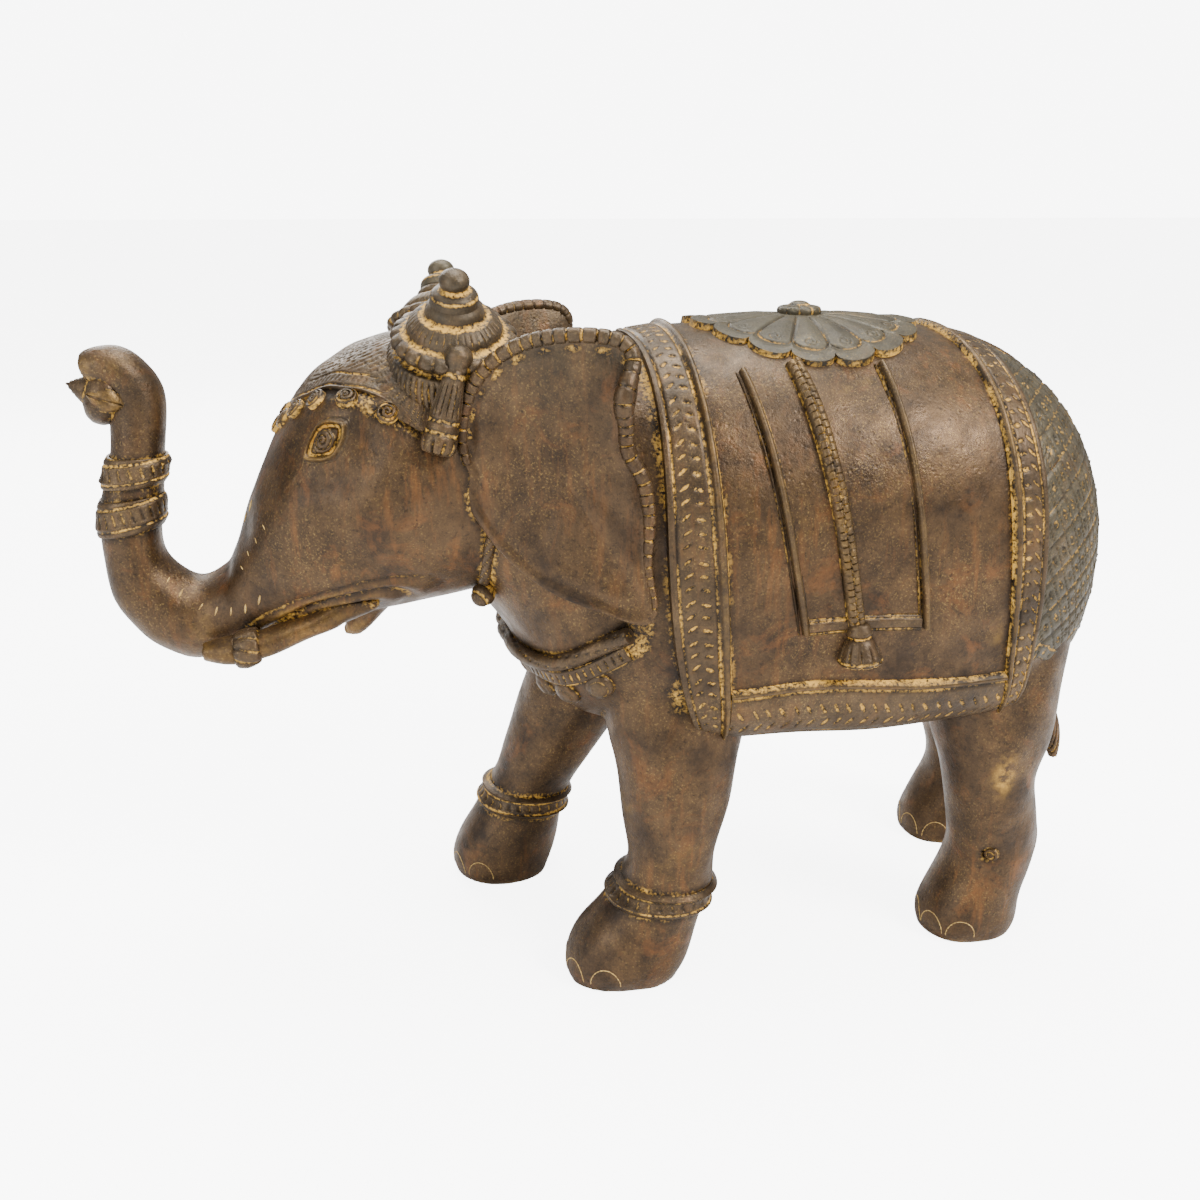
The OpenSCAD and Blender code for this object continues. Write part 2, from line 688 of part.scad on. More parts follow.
module bell_cord(side) {
    points = [for (v = [0.3:0.05:0.85]) let (q = cloth_spot(6.32 + 1.1 * v, side, v))
        over_body(q[0], q[1], cloth_thickness + 1.5)];
    color(gilt) placed() cord(points, 1.9, 8);
}

module bell_cord_left() { bell_cord(-1); }
module bell_cord_right() { bell_cord(1); }

module bell_tassel(side) {
    q = cloth_spot(7.22, side, 0.84);
    r = cloth_spot(7.28, side, 0.92);
    top = over_body(q[0], q[1], cloth_thickness + 1.6);
    foot = over_body(r[0], r[1], cloth_thickness + 1.6);
    color(gilt) placed() meshed() difference() {
        aimed(top, foot - top) rotate_extrude($fn = 14)
            polygon([[0, 0], [2.6, 0], [3.4, 2], [3, 3], [4, 6], [5.4, 10], [4.4, 10.6], [0, 11.4]]);
        over_cloth(function(s, t) cloth_spot(6.6 + 1.4 * s, side, 0.7 + 0.3 * t), -8,
            cloth_thickness + border_height, 8, 8);
    }
}

module bell_tassel_left() { bell_tassel(-1); }
module bell_tassel_right() { bell_tassel(1); }

// Crupper and tail

net_foot = 92;

module crupper_net() {
    at = function(s, t) let (w = 2 * t - 1, v = abs(w), from = cloth_rear(v) + 0.08,
        u = from + (14.1 - from) * s) [u, sign(w) * angle_at(u, net_foot + 18 * s) * v];
    color(green) placed() meshed() difference() {
        skin_plate(body_stations, at, 0, 1, 8, 22);
        loft(rings(tail_stations, 0, 5, 8, 10));
    }
}

module crupper_strap() {
    at = function(s, t) [9.4 + 3.8 * s, (2 * t - 1) * (6 + 3 * s)];
    color(gilt) placed() skin_plate(body_stations, at, 1, 2.2, 8, 2);
}

module tail() {
    color(patina) placed() meshed() difference() {
        loft(rings(tail_stations, 0, 5, 8, 10));
        torso_body();
    }
}

module tail_tuft() {
    color(patina) placed() loft(rings(tuft_stations, 0, 3, 5, 10));
}

torso();
neck();
head();
trunk_lower();
trunk_upper();
trunk_ring_lower();
trunk_ring_upper();
trunk_bud();
lower_lip();
leg_front_left();
leg_front_right();
leg_rear_left();
leg_rear_right();
clay_core();
core_pin();
ear_left();
ear_right();
eye_left();
eye_right();
tusk_left();
tusk_right();
tusk_ferrule_left();
tusk_ferrule_right();
tusk_cap_left();
tusk_cap_right();
head_cap();
browband();
brow_studs();
brow_dome_left();
brow_dome_right();
dome_finial_left();
dome_finial_right();
ear_drop_left();
ear_drop_right();
throat_cord();
throat_pendants();
collar_cord();
collar_band();
collar_pendants();
anklet_left();
anklet_right();
saddle_cloth();
cloth_border_front();
cloth_border_rear();
cloth_border_left();
cloth_border_right();
panel_rib_left();
panel_rib_right();
saddle_rosette();
rosette_boss();
bell_cord_left();
bell_cord_right();
bell_tassel_left();
bell_tassel_right();
crupper_net();
crupper_strap();
tail();
tail_tuft();
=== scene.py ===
# Lost-wax brass elephant with a raised trunk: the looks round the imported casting.
# The head looks along -X, the left side is towards -Y, and the soles stand on z = 0.
import math
import bmesh
import bpy
import numpy as np
from mathutils import Matrix, Vector
from mathutils.bvhtree import BVHTree


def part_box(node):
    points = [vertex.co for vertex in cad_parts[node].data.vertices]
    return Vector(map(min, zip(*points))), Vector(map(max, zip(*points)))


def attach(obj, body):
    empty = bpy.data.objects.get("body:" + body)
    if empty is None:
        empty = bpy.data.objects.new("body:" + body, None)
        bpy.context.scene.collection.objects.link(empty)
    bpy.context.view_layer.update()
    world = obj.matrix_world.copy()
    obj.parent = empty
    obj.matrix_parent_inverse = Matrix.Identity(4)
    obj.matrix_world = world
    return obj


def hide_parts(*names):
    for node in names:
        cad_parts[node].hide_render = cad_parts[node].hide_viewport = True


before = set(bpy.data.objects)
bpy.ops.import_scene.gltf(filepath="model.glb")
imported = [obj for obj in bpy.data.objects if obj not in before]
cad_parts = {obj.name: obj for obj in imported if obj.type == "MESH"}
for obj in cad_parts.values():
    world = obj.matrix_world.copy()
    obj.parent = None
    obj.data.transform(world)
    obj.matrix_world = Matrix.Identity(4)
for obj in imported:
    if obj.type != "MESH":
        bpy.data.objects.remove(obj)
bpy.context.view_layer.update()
mm = 0.001
fullTurn = 2 * math.pi
body = "root"
bothSides = (("left", -1), ("right", 1))   # the side's name and its sign along Y
print("frame loaded:", len(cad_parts), "nodes")


# camera, lights and floor

stageLook = {
    "cameraAt": (-68.3, -328.9, 215.2),  # mm
    "cameraTurn": 10.76,                 # degrees from straight along +Y towards +X
    "cameraDip": 18.22,                  # degrees below level
    "lens": 36.0,
    "lampAim": (0, 0, 0.09),             # metres, the middle of the elephant
    "floorSize": 40.0,                   # metres
    "floorTone": (0.93, 0.93, 0.93, 1),
    "floorGlow": 6.5,                    # how bright the floor looks to the camera
    "skyTone": (1.0, 1.0, 1.0, 1),
    "skyStrength": 0.50,                 # how much light the backdrop gives
    "seenSky": 8.0,                      # how bright the backdrop looks
}
# name, place in metres, size in metres, watts, tint
studioLamps = [
    ("keyPanel", (0.75, -0.75, 0.95), 0.42, 24.0, (1.0, 0.97, 0.93)),
    ("topPanel", (0.05, 0.10, 1.05), 0.60, 14.0, (1.0, 1.0, 1.0)),
    ("fillPanel", (-0.95, -0.70, 0.55), 0.90, 10.5, (0.94, 0.97, 1.0)),
    ("edgePanel", (-0.25, 0.95, 0.70), 0.50, 7.0, (1.0, 0.98, 0.95)),
]


# one strength for the camera's own rays and another for all the rest
def seenByCamera(tree, socket, others, direct):
    rays = tree.nodes.new("ShaderNodeLightPath")
    pick = tree.nodes.new("ShaderNodeMapRange")
    pick.inputs["To Min"].default_value = others
    pick.inputs["To Max"].default_value = direct
    tree.links.new(rays.outputs["Is Camera Ray"], pick.inputs["Value"])
    tree.links.new(pick.outputs["Result"], socket)


def setStage():
    view = bpy.data.cameras.new("viewCamera")
    view.lens = stageLook["lens"]
    view.sensor_width = 36.0
    view.clip_start = 0.01
    camera = bpy.data.objects.new("viewCamera", view)
    camera.location = Vector(stageLook["cameraAt"]) * mm
    rise, turn = math.radians(90 - stageLook["cameraDip"]), -math.radians(stageLook["cameraTurn"])
    camera.rotation_euler = (rise, 0, turn)
    bpy.context.scene.collection.objects.link(camera)
    bpy.context.scene.camera = camera
    aim = Vector(stageLook["lampAim"])
    for name, at, size, watts, tint in studioLamps:
        lamp = bpy.data.lights.new(name, "AREA")
        lamp.size = size
        lamp.energy = watts
        lamp.color = tint
        holder = bpy.data.objects.new(name, lamp)
        holder.location = at
        holder.rotation_euler = (aim - Vector(at)).to_track_quat("-Z", "Y").to_euler()
        bpy.context.scene.collection.objects.link(holder)
    sky = bpy.data.worlds.new("softSky")
    sky.use_nodes = True
    backdrop = sky.node_tree.nodes["Background"]
    backdrop.inputs["Color"].default_value = stageLook["skyTone"]
    seenByCamera(sky.node_tree, backdrop.inputs["Strength"], stageLook["skyStrength"], stageLook["seenSky"])
    bpy.context.scene.world = sky
    half = stageLook["floorSize"] / 2
    corners = [(-half, -half, 0), (half, -half, 0), (half, half, 0), (-half, half, 0)]
    floorMesh = bpy.data.meshes.new("paleFloor")
    floorMesh.from_pydata(corners, [], [(0, 1, 2, 3)])
    floor = bpy.data.objects.new("paleFloor", floorMesh)
    bpy.context.scene.collection.objects.link(floor)
    paper = bpy.data.materials.new("palePaper")
    paper.use_nodes = True
    surface = paper.node_tree.nodes["Principled BSDF"]
    surface.inputs["Base Color"].default_value = stageLook["floorTone"]
    surface.inputs["Roughness"].default_value = 0.8
    surface.inputs["Emission Color"].default_value = stageLook["skyTone"]
    seenByCamera(paper.node_tree, surface.inputs["Emission Strength"], 0.0, stageLook["floorGlow"])
    floorMesh.materials.append(paper)


setStage()
print("stage set")


# shared effects, each a node group

tints = {
    "ochre": (0.66, 0.37, 0.060, 1),
    "brass": (0.60, 0.34, 0.070, 1),
    "bloom": (0.108, 0.098, 0.062, 1),
    "run": (0.25, 0.098, 0.026, 1),
    "powder": (0.42, 0.27, 0.085, 1),
    "fillPale": (0.70, 0.47, 0.15, 1),
    "fillDark": (0.26, 0.145, 0.045, 1),
    "clayDark": (0.16, 0.085, 0.05, 1),
    "clayPale": (0.33, 0.20, 0.13, 1),
}


def addNode(tree, kind, **settings):
    made = tree.nodes.new(kind)
    for name, value in settings.items():
        if hasattr(made, name):
            setattr(made, name, value)
        else:
            made.inputs[name.replace("_", " ")].default_value = value
    return made


def newGroup(name, takes, gives):
    group = bpy.data.node_groups.new(name, "ShaderNodeTree")
    for label, kind, value in takes:
        socket = group.interface.new_socket(name=label, in_out="INPUT", socket_type=kind)
        if value is not None:
            socket.default_value = value
    for label, kind in gives:
        group.interface.new_socket(name=label, in_out="OUTPUT", socket_type=kind)
    return group, group.nodes.new("NodeGroupInput"), group.nodes.new("NodeGroupOutput")


def maskGroup(name, **takes):
    sockets = [(label, "NodeSocketFloat", value) for label, value in takes.items()]
    return newGroup(name, [("Place", "NodeSocketVector", None)] + sockets, [("Mask", "NodeSocketFloat")])


def mixTones(tree, factor, first, second):
    blend = tree.nodes.new("ShaderNodeMix")
    blend.data_type = "RGBA"
    low, high = blend.inputs[6], blend.inputs[7]     # the colour sockets, A and B
    for socket, value in ((blend.inputs["Factor"], factor), (low, first), (high, second)):
        if isinstance(value, (tuple, float, int)):
            socket.default_value = value
        else:
            tree.links.new(value, socket)
    return blend.outputs[2]


def sums(tree, operation, first, second=None, clamp=False):
    work = tree.nodes.new("ShaderNodeMath")
    work.operation = operation
    work.use_clamp = clamp
    for socket, value in zip(work.inputs, (first, second)):
        if isinstance(value, (float, int)):
            socket.default_value = value
        elif value is not None:
            tree.links.new(value, socket)
    return work.outputs[0]


def noiseOf(tree, place, scale, detail=4.0, rough=0.55, twist=0.0):
    cloud = addNode(tree, "ShaderNodeTexNoise", Scale=scale, Detail=detail, Roughness=rough,
                    Distortion=twist)
    tree.links.new(place, cloud.inputs["Vector"])
    return cloud.outputs["Fac"]


def ranged(tree, value, low, high):
    span = addNode(tree, "ShaderNodeMapRange", clamp=True)
    span.inputs["From Min"].default_value = low
    span.inputs["From Max"].default_value = high
    tree.links.new(value, span.inputs["Value"])
    return span.outputs["Result"]


def makePatinaTone():
    tones = [(label, "NodeSocketColor", None) for label in ("Dark", "Middle", "Warm")]
    group, take, give = newGroup("patinaTone", [("Place", "NodeSocketVector", None)] + tones,
                                 [("Tone", "NodeSocketColor")])
    place = take.outputs["Place"]
    clouds = ranged(group, noiseOf(group, place, 95.0, 9.0, 0.74), 0.36, 0.64)
    tone = mixTones(group, clouds, take.outputs["Dark"], take.outputs["Middle"])
    broad = ranged(group, noiseOf(group, place, 26.0, 3.0, 0.5), 0.30, 0.70)
    tone = mixTones(group, sums(group, "MULTIPLY", broad, 0.40), tone, take.outputs["Middle"])
    flush = ranged(group, noiseOf(group, place, 60.0, 7.0, 0.72, 0.8), 0.54, 0.70)
    tone = mixTones(group, sums(group, "MULTIPLY", flush, 0.66), tone, take.outputs["Warm"])
    specks = ranged(group, noiseOf(group, place, 620.0, 4.0, 0.75), 0.54, 0.70)
    tone = mixTones(group, sums(group, "MULTIPLY", specks, 0.78), tone, take.outputs["Dark"])
    where = ranged(group, noiseOf(group, place, 48.0, 4.0, 0.6), 0.36, 0.62)
    crumbs = ranged(group, noiseOf(group, place, 1750.0, 4.0, 0.7), 0.545, 0.68)
    powder = sums(group, "MULTIPLY", sums(group, "MULTIPLY", crumbs, where), 0.46)
    tone = mixTones(group, powder, tone, tints["powder"])
    group.links.new(tone, give.inputs["Tone"])
    return group


def makeRecessDust():
    group, take, give = maskGroup("recessDust", Recess=0.0, Amount=1.0)
    patches = ranged(group, noiseOf(group, take.outputs["Place"], 90.0, 5.0, 0.65), 0.36, 0.62)
    crumbs = ranged(group, noiseOf(group, take.outputs["Place"], 1100.0, 3.0, 0.6), 0.30, 0.60)
    hold = sums(group, "MULTIPLY", sums(group, "ADD", sums(group, "MULTIPLY", patches, 0.80), 0.24), crumbs)
    deep = sums(group, "MULTIPLY", take.outputs["Recess"], take.outputs["Amount"])
    mask = ranged(group, sums(group, "MULTIPLY", deep, hold), 0.16, 0.62)
    group.links.new(mask, give.inputs["Mask"])
    return group


def makeGreenBloom():
    group, take, give = maskGroup("greenBloom", Low=0.160, High=0.190, Amount=0.6)   # heights in metres
    height = addNode(group, "ShaderNodeSeparateXYZ")
    group.links.new(take.outputs["Place"], height.inputs[0])
    rise = addNode(group, "ShaderNodeMapRange", clamp=True)
    group.links.new(height.outputs["Z"], rise.inputs["Value"])
    group.links.new(take.outputs["Low"], rise.inputs["From Min"])
    group.links.new(take.outputs["High"], rise.inputs["From Max"])
    broken = ranged(group, noiseOf(group, take.outputs["Place"], 30.0, 5.0, 0.6), 0.28, 0.58)
    green = sums(group, "MULTIPLY", rise.outputs["Result"], broken)
    mask = sums(group, "MULTIPLY", green, take.outputs["Amount"])
    group.links.new(mask, give.inputs["Mask"])
    return group


def makeRunStreaks():
    group, take, give = maskGroup("runStreaks", Amount=0.5)
    stretch = addNode(group, "ShaderNodeMapping")
    stretch.inputs["Scale"].default_value = (330.0, 330.0, 42.0)
    group.links.new(take.outputs["Place"], stretch.inputs["Vector"])
    runs = ranged(group, noiseOf(group, stretch.outputs["Vector"], 1.0, 5.0, 0.7), 0.52, 0.72)
    where = ranged(group, noiseOf(group, take.outputs["Place"], 24.0, 2.0, 0.5), 0.40, 0.64)
    mask = sums(group, "MULTIPLY", sums(group, "MULTIPLY", runs, where), take.outputs["Amount"])
    group.links.new(mask, give.inputs["Mask"])
    return group


def makeHandRub():
    group, take, give = maskGroup("handRub", Rub=0.0, Amount=1.0)
    scuffs = ranged(group, noiseOf(group, take.outputs["Place"], 260.0, 5.0, 0.7), 0.40, 0.64)
    spots = ranged(group, noiseOf(group, take.outputs["Place"], 36.0, 3.0, 0.6), 0.64, 0.74)
    edge = sums(group, "MULTIPLY", take.outputs["Rub"], scuffs)
    stray = sums(group, "MULTIPLY", sums(group, "MULTIPLY", spots, scuffs), 0.22)
    total = sums(group, "ADD", edge, stray)
    group.links.new(sums(group, "MULTIPLY", total, take.outputs["Amount"], clamp=True), give.inputs["Mask"])
    return group


def makeCastGrain():
    group, take, give = newGroup("castGrain", [("Place", "NodeSocketVector", None),
        ("Coarse", "NodeSocketFloat", 0.5)], [("Height", "NodeSocketFloat")])
    fine = noiseOf(group, take.outputs["Place"], 1500.0, 4.0, 0.65)
    pits = addNode(group, "ShaderNodeTexVoronoi", Scale=420.0)
    group.links.new(take.outputs["Place"], pits.inputs["Vector"])
    dents = ranged(group, pits.outputs["Distance"], 0.0, 0.28)
    swell = noiseOf(group, take.outputs["Place"], 130.0, 3.0, 0.5)
    total = sums(group, "ADD", sums(group, "MULTIPLY", fine, 0.35), sums(group, "MULTIPLY", dents, 0.25))
    total = sums(group, "ADD", total, sums(group, "MULTIPLY", swell, take.outputs["Coarse"]))
    group.links.new(total, give.inputs["Height"])
    return group


effects = {"tone": makePatinaTone(), "dust": makeRecessDust(), "green": makeGreenBloom(),
           "runs": makeRunStreaks(), "rub": makeHandRub(), "grain": makeCastGrain()}


# finishes

finishLooks = {
    "agedBrass": {
        "dark": (0.017, 0.0095, 0.0048), "middle": (0.094, 0.052, 0.0215), "warm": (0.165, 0.064, 0.018),
        "dust": 1.0, "green": 0.22, "runs": 0.50, "rub": 0.9,
        "metal": 0.60, "smooth": 0.30, "matt": 0.54, "grain": 0.60,
    },
    "chasedBrass": {
        "dark": (0.022, 0.0135, 0.0070), "middle": (0.098, 0.060, 0.028), "warm": (0.145, 0.073, 0.024),
        "dust": 1.15, "green": 0.20, "runs": 0.25, "rub": 1.0,
        "metal": 0.58, "smooth": 0.32, "matt": 0.56, "grain": 0.60,
    },
    "greenedBrass": {
        "dark": (0.022, 0.017, 0.009), "middle": (0.076, 0.062, 0.035), "warm": (0.105, 0.066, 0.030),
        "dust": 1.0, "green": 0.22, "runs": 0.20, "rub": 0.8,
        "metal": 0.40, "smooth": 0.38, "matt": 0.58, "grain": 0.60,
    },
    "wornBrass": {
        "dark": (0.026, 0.0145, 0.0065), "middle": (0.098, 0.054, 0.021), "warm": (0.225, 0.108, 0.028),
        "dust": 0.9, "green": 0.06, "runs": 0.35, "rub": 0.8,
        "metal": 0.66, "smooth": 0.30, "matt": 0.52, "grain": 0.36,
    },
}


def makeFinish(name, look):
    finish = bpy.data.materials.new(name)
    finish.use_nodes = True
    tree = finish.node_tree
    surface = tree.nodes["Principled BSDF"]
    place = tree.nodes.new("ShaderNodeTexCoord").outputs["Object"]
    links = tree.links

    def effect(kind, **values):
        made = tree.nodes.new("ShaderNodeGroup")
        made.node_tree = effects[kind]
        links.new(place, made.inputs["Place"])
        for label, value in values.items():
            if isinstance(value, bpy.types.NodeSocket):
                links.new(value, made.inputs[label])
            else:
                made.inputs[label].default_value = value
        return made.outputs[0]

    def mark(label):
        return addNode(tree, "ShaderNodeAttribute", attribute_name=label).outputs["Fac"]

    tone = effect("tone", Dark=(*look["dark"], 1), Middle=(*look["middle"], 1), Warm=(*look["warm"], 1))
    runs = effect("runs", Amount=look["runs"])
    green = effect("green", Amount=look["green"])
    rub = effect("rub", Rub=mark("rub"), Amount=look["rub"])
    dust = effect("dust", Recess=mark("recess"), Amount=look["dust"])
    colour = mixTones(tree, runs, tone, tints["run"])
    colour = mixTones(tree, green, colour, tints["bloom"])
    colour = mixTones(tree, rub, colour, tints["brass"])
    # painted shade: the recesses are darkened towards a deep tone, standing in for the shade that falls in
    # them
    paintedRecessShade = sums(tree, "MULTIPLY", ranged(tree, mark("recess"), 0.04, 0.55), 0.80)
    colour = mixTones(tree, paintedRecessShade, colour, tuple(0.45 * part for part in look["dark"]) + (1,))
    colour = mixTones(tree, dust, colour, tints["ochre"])
    links.new(colour, surface.inputs["Base Color"])
    cover = sums(tree, "SUBTRACT", 1.0, dust)
    shine = sums(tree, "ADD", sums(tree, "MULTIPLY", rub, 0.35), look["metal"])
    metal = sums(tree, "MULTIPLY", sums(tree, "MULTIPLY", shine, cover),
                 sums(tree, "SUBTRACT", 1.0, sums(tree, "MULTIPLY", green, 0.5)), clamp=True)
    links.new(metal, surface.inputs["Metallic"])
    cloud = ranged(tree, noiseOf(tree, place, 160.0, 5.0, 0.6), 0.3, 0.7)
    rough = sums(tree, "ADD", sums(tree, "MULTIPLY", cloud, look["matt"] - look["smooth"]), look["smooth"])
    rough = sums(tree, "ADD", rough, sums(tree, "MULTIPLY", dust, 0.35))
    rough = sums(tree, "SUBTRACT", rough, sums(tree, "MULTIPLY", rub, 0.10), clamp=True)
    links.new(rough, surface.inputs["Roughness"])
    relief = addNode(tree, "ShaderNodeBump", Strength=look["grain"], Distance=0.0006)
    links.new(effect("grain", Coarse=0.8), relief.inputs["Height"])
    links.new(relief.outputs["Normal"], surface.inputs["Normal"])
    return finish


finishes = {name: makeFinish(name, look) for name, look in finishLooks.items()}


def makeOchreFill():
    fill = bpy.data.materials.new("ochreFill")
    fill.use_nodes = True
    tree = fill.node_tree
    surface = tree.nodes["Principled BSDF"]
    place = tree.nodes.new("ShaderNodeTexCoord").outputs["Object"]
    crumbs = ranged(tree, noiseOf(tree, place, 700.0, 4.0, 0.7), 0.35, 0.7)
    tree.links.new(mixTones(tree, crumbs, tints["fillPale"], tints["fillDark"]), surface.inputs["Base Color"])
    surface.inputs["Roughness"].default_value = 0.72
    surface.inputs["Metallic"].default_value = 0.1
    grain = addNode(tree, "ShaderNodeBump", Strength=0.4, Distance=0.0004)
    tree.links.new(crumbs, grain.inputs["Height"])
    tree.links.new(grain.outputs["Normal"], surface.inputs["Normal"])
    return fill


def makeFiredClay():
    core = bpy.data.materials.new("firedClay")
    core.use_nodes = True
    tree = core.node_tree
    surface = tree.nodes["Principled BSDF"]
    place = tree.nodes.new("ShaderNodeTexCoord").outputs["Object"]
    grit = ranged(tree, noiseOf(tree, place, 300.0, 6.0, 0.7), 0.3, 0.7)
    tree.links.new(mixTones(tree, grit, tints["clayDark"], tints["clayPale"]), surface.inputs["Base Color"])
    surface.inputs["Roughness"].default_value = 0.92
    grain = addNode(tree, "ShaderNodeBump", Strength=0.6, Distance=0.0008)
    tree.links.new(grit, grain.inputs["Height"])
    tree.links.new(grain.outputs["Normal"], surface.inputs["Normal"])
    return core


finishes["ochreFill"] = makeOchreFill()
finishes["firedClay"] = makeFiredClay()
print("finishes made")


# mesh helpers

def addMark(mesh, name, values):
    layer = mesh.attributes.get(name) or mesh.attributes.new(name, "FLOAT", "POINT")
    layer.data.foreach_set("value", np.asarray(values, np.float32).ravel())


def spotsOf(mesh):
    spots = np.zeros(len(mesh.vertices) * 3, np.float32)
    mesh.vertices.foreach_get("co", spots)
    return spots.reshape(-1, 3).astype(float)


def normalsOf(mesh):
    ways = np.zeros(len(mesh.vertices) * 3, np.float32)
    mesh.vertices.foreach_get("normal", ways)
    return ways.reshape(-1, 3).astype(float)


def moveTo(mesh, spots):
    mesh.vertices.foreach_set("co", np.asarray(spots, np.float32).ravel())
    mesh.update()


def newPiece(name, spots, faces, **marks):
    mesh = bpy.data.meshes.new(name)
    mesh.from_pydata(np.asarray(spots).reshape(-1, 3).tolist(), [], faces)
    mesh.update()
    for label, values in marks.items():
        addMark(mesh, label, values)
    piece = bpy.data.objects.new(name, mesh)
    bpy.context.scene.collection.objects.link(piece)
    return piece


def outward(piece):
    shape = bmesh.new()
    shape.from_mesh(piece.data)
    bmesh.ops.recalc_face_normals(shape, faces=shape.faces)
    shape.to_mesh(piece.data)
    shape.free()
    return piece


def softShade(piece, sharpest=48):
    piece.data.shade_smooth()
    piece.data.set_sharp_from_angle(angle=math.radians(sharpest))
    return piece


def baked(piece):
    graph = bpy.context.evaluated_depsgraph_get()
    mesh = bpy.data.meshes.new_from_object(piece.evaluated_get(graph), depsgraph=graph)
    piece.modifiers.clear()
    piece.data = mesh
    return piece


def place(piece, finish, *nodes):
    piece.data.materials.clear()
    piece.data.materials.append(finishes[finish])
    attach(piece, body)
    if nodes:
        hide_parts(*nodes)
    return piece


mergeWithin = 0.004 * mm


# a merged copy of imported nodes, rounded by subdivision with its hard edges held
def cadCopy(name, nodes, levels=0, hardest=50):
    shape = bmesh.new()
    for node in nodes:
        part = bmesh.new()
        part.from_mesh(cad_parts[node].data)
        bmesh.ops.remove_doubles(part, verts=part.verts, dist=mergeWithin)
        bmesh.ops.join_triangles(part, faces=part.faces, angle_face_threshold=0.6,
                                 angle_shape_threshold=1.2)
        crease = part.edges.layers.float.new("crease_edge")
        for edge in part.edges:
            if len(edge.link_faces) == 2 and edge.calc_face_angle() > math.radians(hardest):
                edge[crease] = 1.0
        single = bpy.data.meshes.new(node)
        part.to_mesh(single)
        part.free()
        shape.from_mesh(single)
        bpy.data.meshes.remove(single)
    mesh = bpy.data.meshes.new(name)
    shape.to_mesh(mesh)
    shape.free()
    copy = bpy.data.objects.new(name, mesh)
    bpy.context.scene.collection.objects.link(copy)
    if levels:
        rounder = copy.modifiers.new("rounder", "SUBSURF")
        rounder.levels = levels
        rounder.render_levels = levels
        baked(copy)
    return copy


# the vertices of each separate shell
def shellsOf(shape):
    seen = set()
    shells = []
    for start in shape.verts:
        if start in seen:
            continue
        shell = [start]
        seen.add(start)
        for vert in shell:
            for edge in vert.link_edges:
                far = edge.other_vert(vert)
                if far not in seen:
                    seen.add(far)
                    shell.append(far)
        shells.append(shell)
    return shells


def keepLargest(piece):
    shape = bmesh.new()
    shape.from_mesh(piece.data)
    keep = set(max(shellsOf(shape), key=len))
    bmesh.ops.delete(shape, geom=[v for v in shape.verts if v not in keep], context="VERTS")
    shape.to_mesh(piece.data)
    shape.free()


# one closed skin round several nodes, as the molten metal joins them
def fused(name, nodes, grain, calmRounds):
    piece = cadCopy(name, nodes, levels=2)
    voxels = piece.modifiers.new("voxels", "REMESH")
    voxels.mode = "VOXEL"
    voxels.voxel_size = grain
    calm = piece.modifiers.new("calm", "SMOOTH")
    calm.factor = 0.5
    calm.iterations = calmRounds
    baked(piece)
    keepLargest(piece)
    return piece


def treeOf(mesh):
    return BVHTree.FromPolygons(spotsOf(mesh).tolist(), [tuple(p.vertices) for p in mesh.polygons])


def fade(value, low, high):
    t = np.clip((value - low) / (high - low), 0, 1)
    return t * t * (3 - 2 * t)


def hump(distance, width):
    return np.exp(-(distance / width) ** 2)


# one notch for each whole number that the beat passes: 0 between the notches and 1 in them
def notches(beat, low, high):
    return fade(np.abs(beat % 1 - 0.5) * 2, low, high)


def unitRows(ways):
    return ways / np.linalg.norm(ways, axis=-1, keepdims=True)


# how far along a path each of its points lies
def lengthsOf(path):
    return np.concatenate([[0], np.cumsum(np.linalg.norm(np.diff(path, axis=0), axis=1))])


# a cut of a slanted chisel repeated along a band; both coordinates in metres from the row's middle
def chiselRow(across, along, pitch, slant, length, width):
    step = (along / pitch - np.round(along / pitch)) * pitch
    lengthwise = across * math.cos(slant) + step * math.sin(slant)
    sideways = step * math.cos(slant) - across * math.sin(slant)
    taper = np.clip(1 - np.abs(lengthwise) / (length / 2), 0, 1)
    return hump(sideways, width * (0.4 + 0.6 * taper)) * fade(taper, 0, 0.35)


# smooth lookup in a table of points by fractional row and column
def lookUp(table, row, column):
    rows, columns = table.shape[:2]
    row = np.clip(row, 1, rows - 2.001)
    column = np.clip(column, 1, columns - 2.001)
    i = row.astype(int)
    k = column.astype(int)

    def weights(t):
        return (-0.5 * t + t ** 2 - 0.5 * t ** 3, 1 - 2.5 * t ** 2 + 1.5 * t ** 3,
                0.5 * t + 2 * t ** 2 - 1.5 * t ** 3, -0.5 * t ** 2 + 0.5 * t ** 3)

    across = weights(row - i)
    down = weights(column - k)
    total = 0
    for a in range(4):
        for b in range(4):
            near = table[np.clip(i + a - 1, 0, rows - 1), np.clip(k + b - 1, 0, columns - 1)]
            total = total + near * (across[a] * down[b])[..., None]
    return total


# the casting itself: hollow barrel, head, trunk and four legs in one skin

castShape = {
    "grain": 1.30 * mm,        # size of the skin's faces
    "swell": 0.25 * mm,        # let out again after smoothing
    "browRise": 2.6 * mm,
    "socketDip": 1.5 * mm,
    "foldRise": 0.8 * mm,
    "unevenness": 0.22 * mm,
    "waves": [((310, 120, 190), 0.3), ((-170, 260, 240), 1.7), ((90, -330, 280), 4.1),
              ((420, 60, -260), 2.2)],                     # the way each wave runs, and its start
    "barePatch": {"height": 28 * mm, "long": 2.6 * mm, "tall": 5 * mm, "side": 12 * mm},
}
castNodes = ["torso", "neck", "head", "trunk_lower", "trunk_upper", "lower_lip",
             "leg_front_left", "leg_front_right", "leg_rear_left", "leg_rear_right"]
legNodes = castNodes[-4:]
dressNodes = [part + tag for part in ("ear_", "tusk_", "tusk_ferrule_", "brow_dome_", "ear_drop_", "anklet_")
              for tag in ("left", "right")]
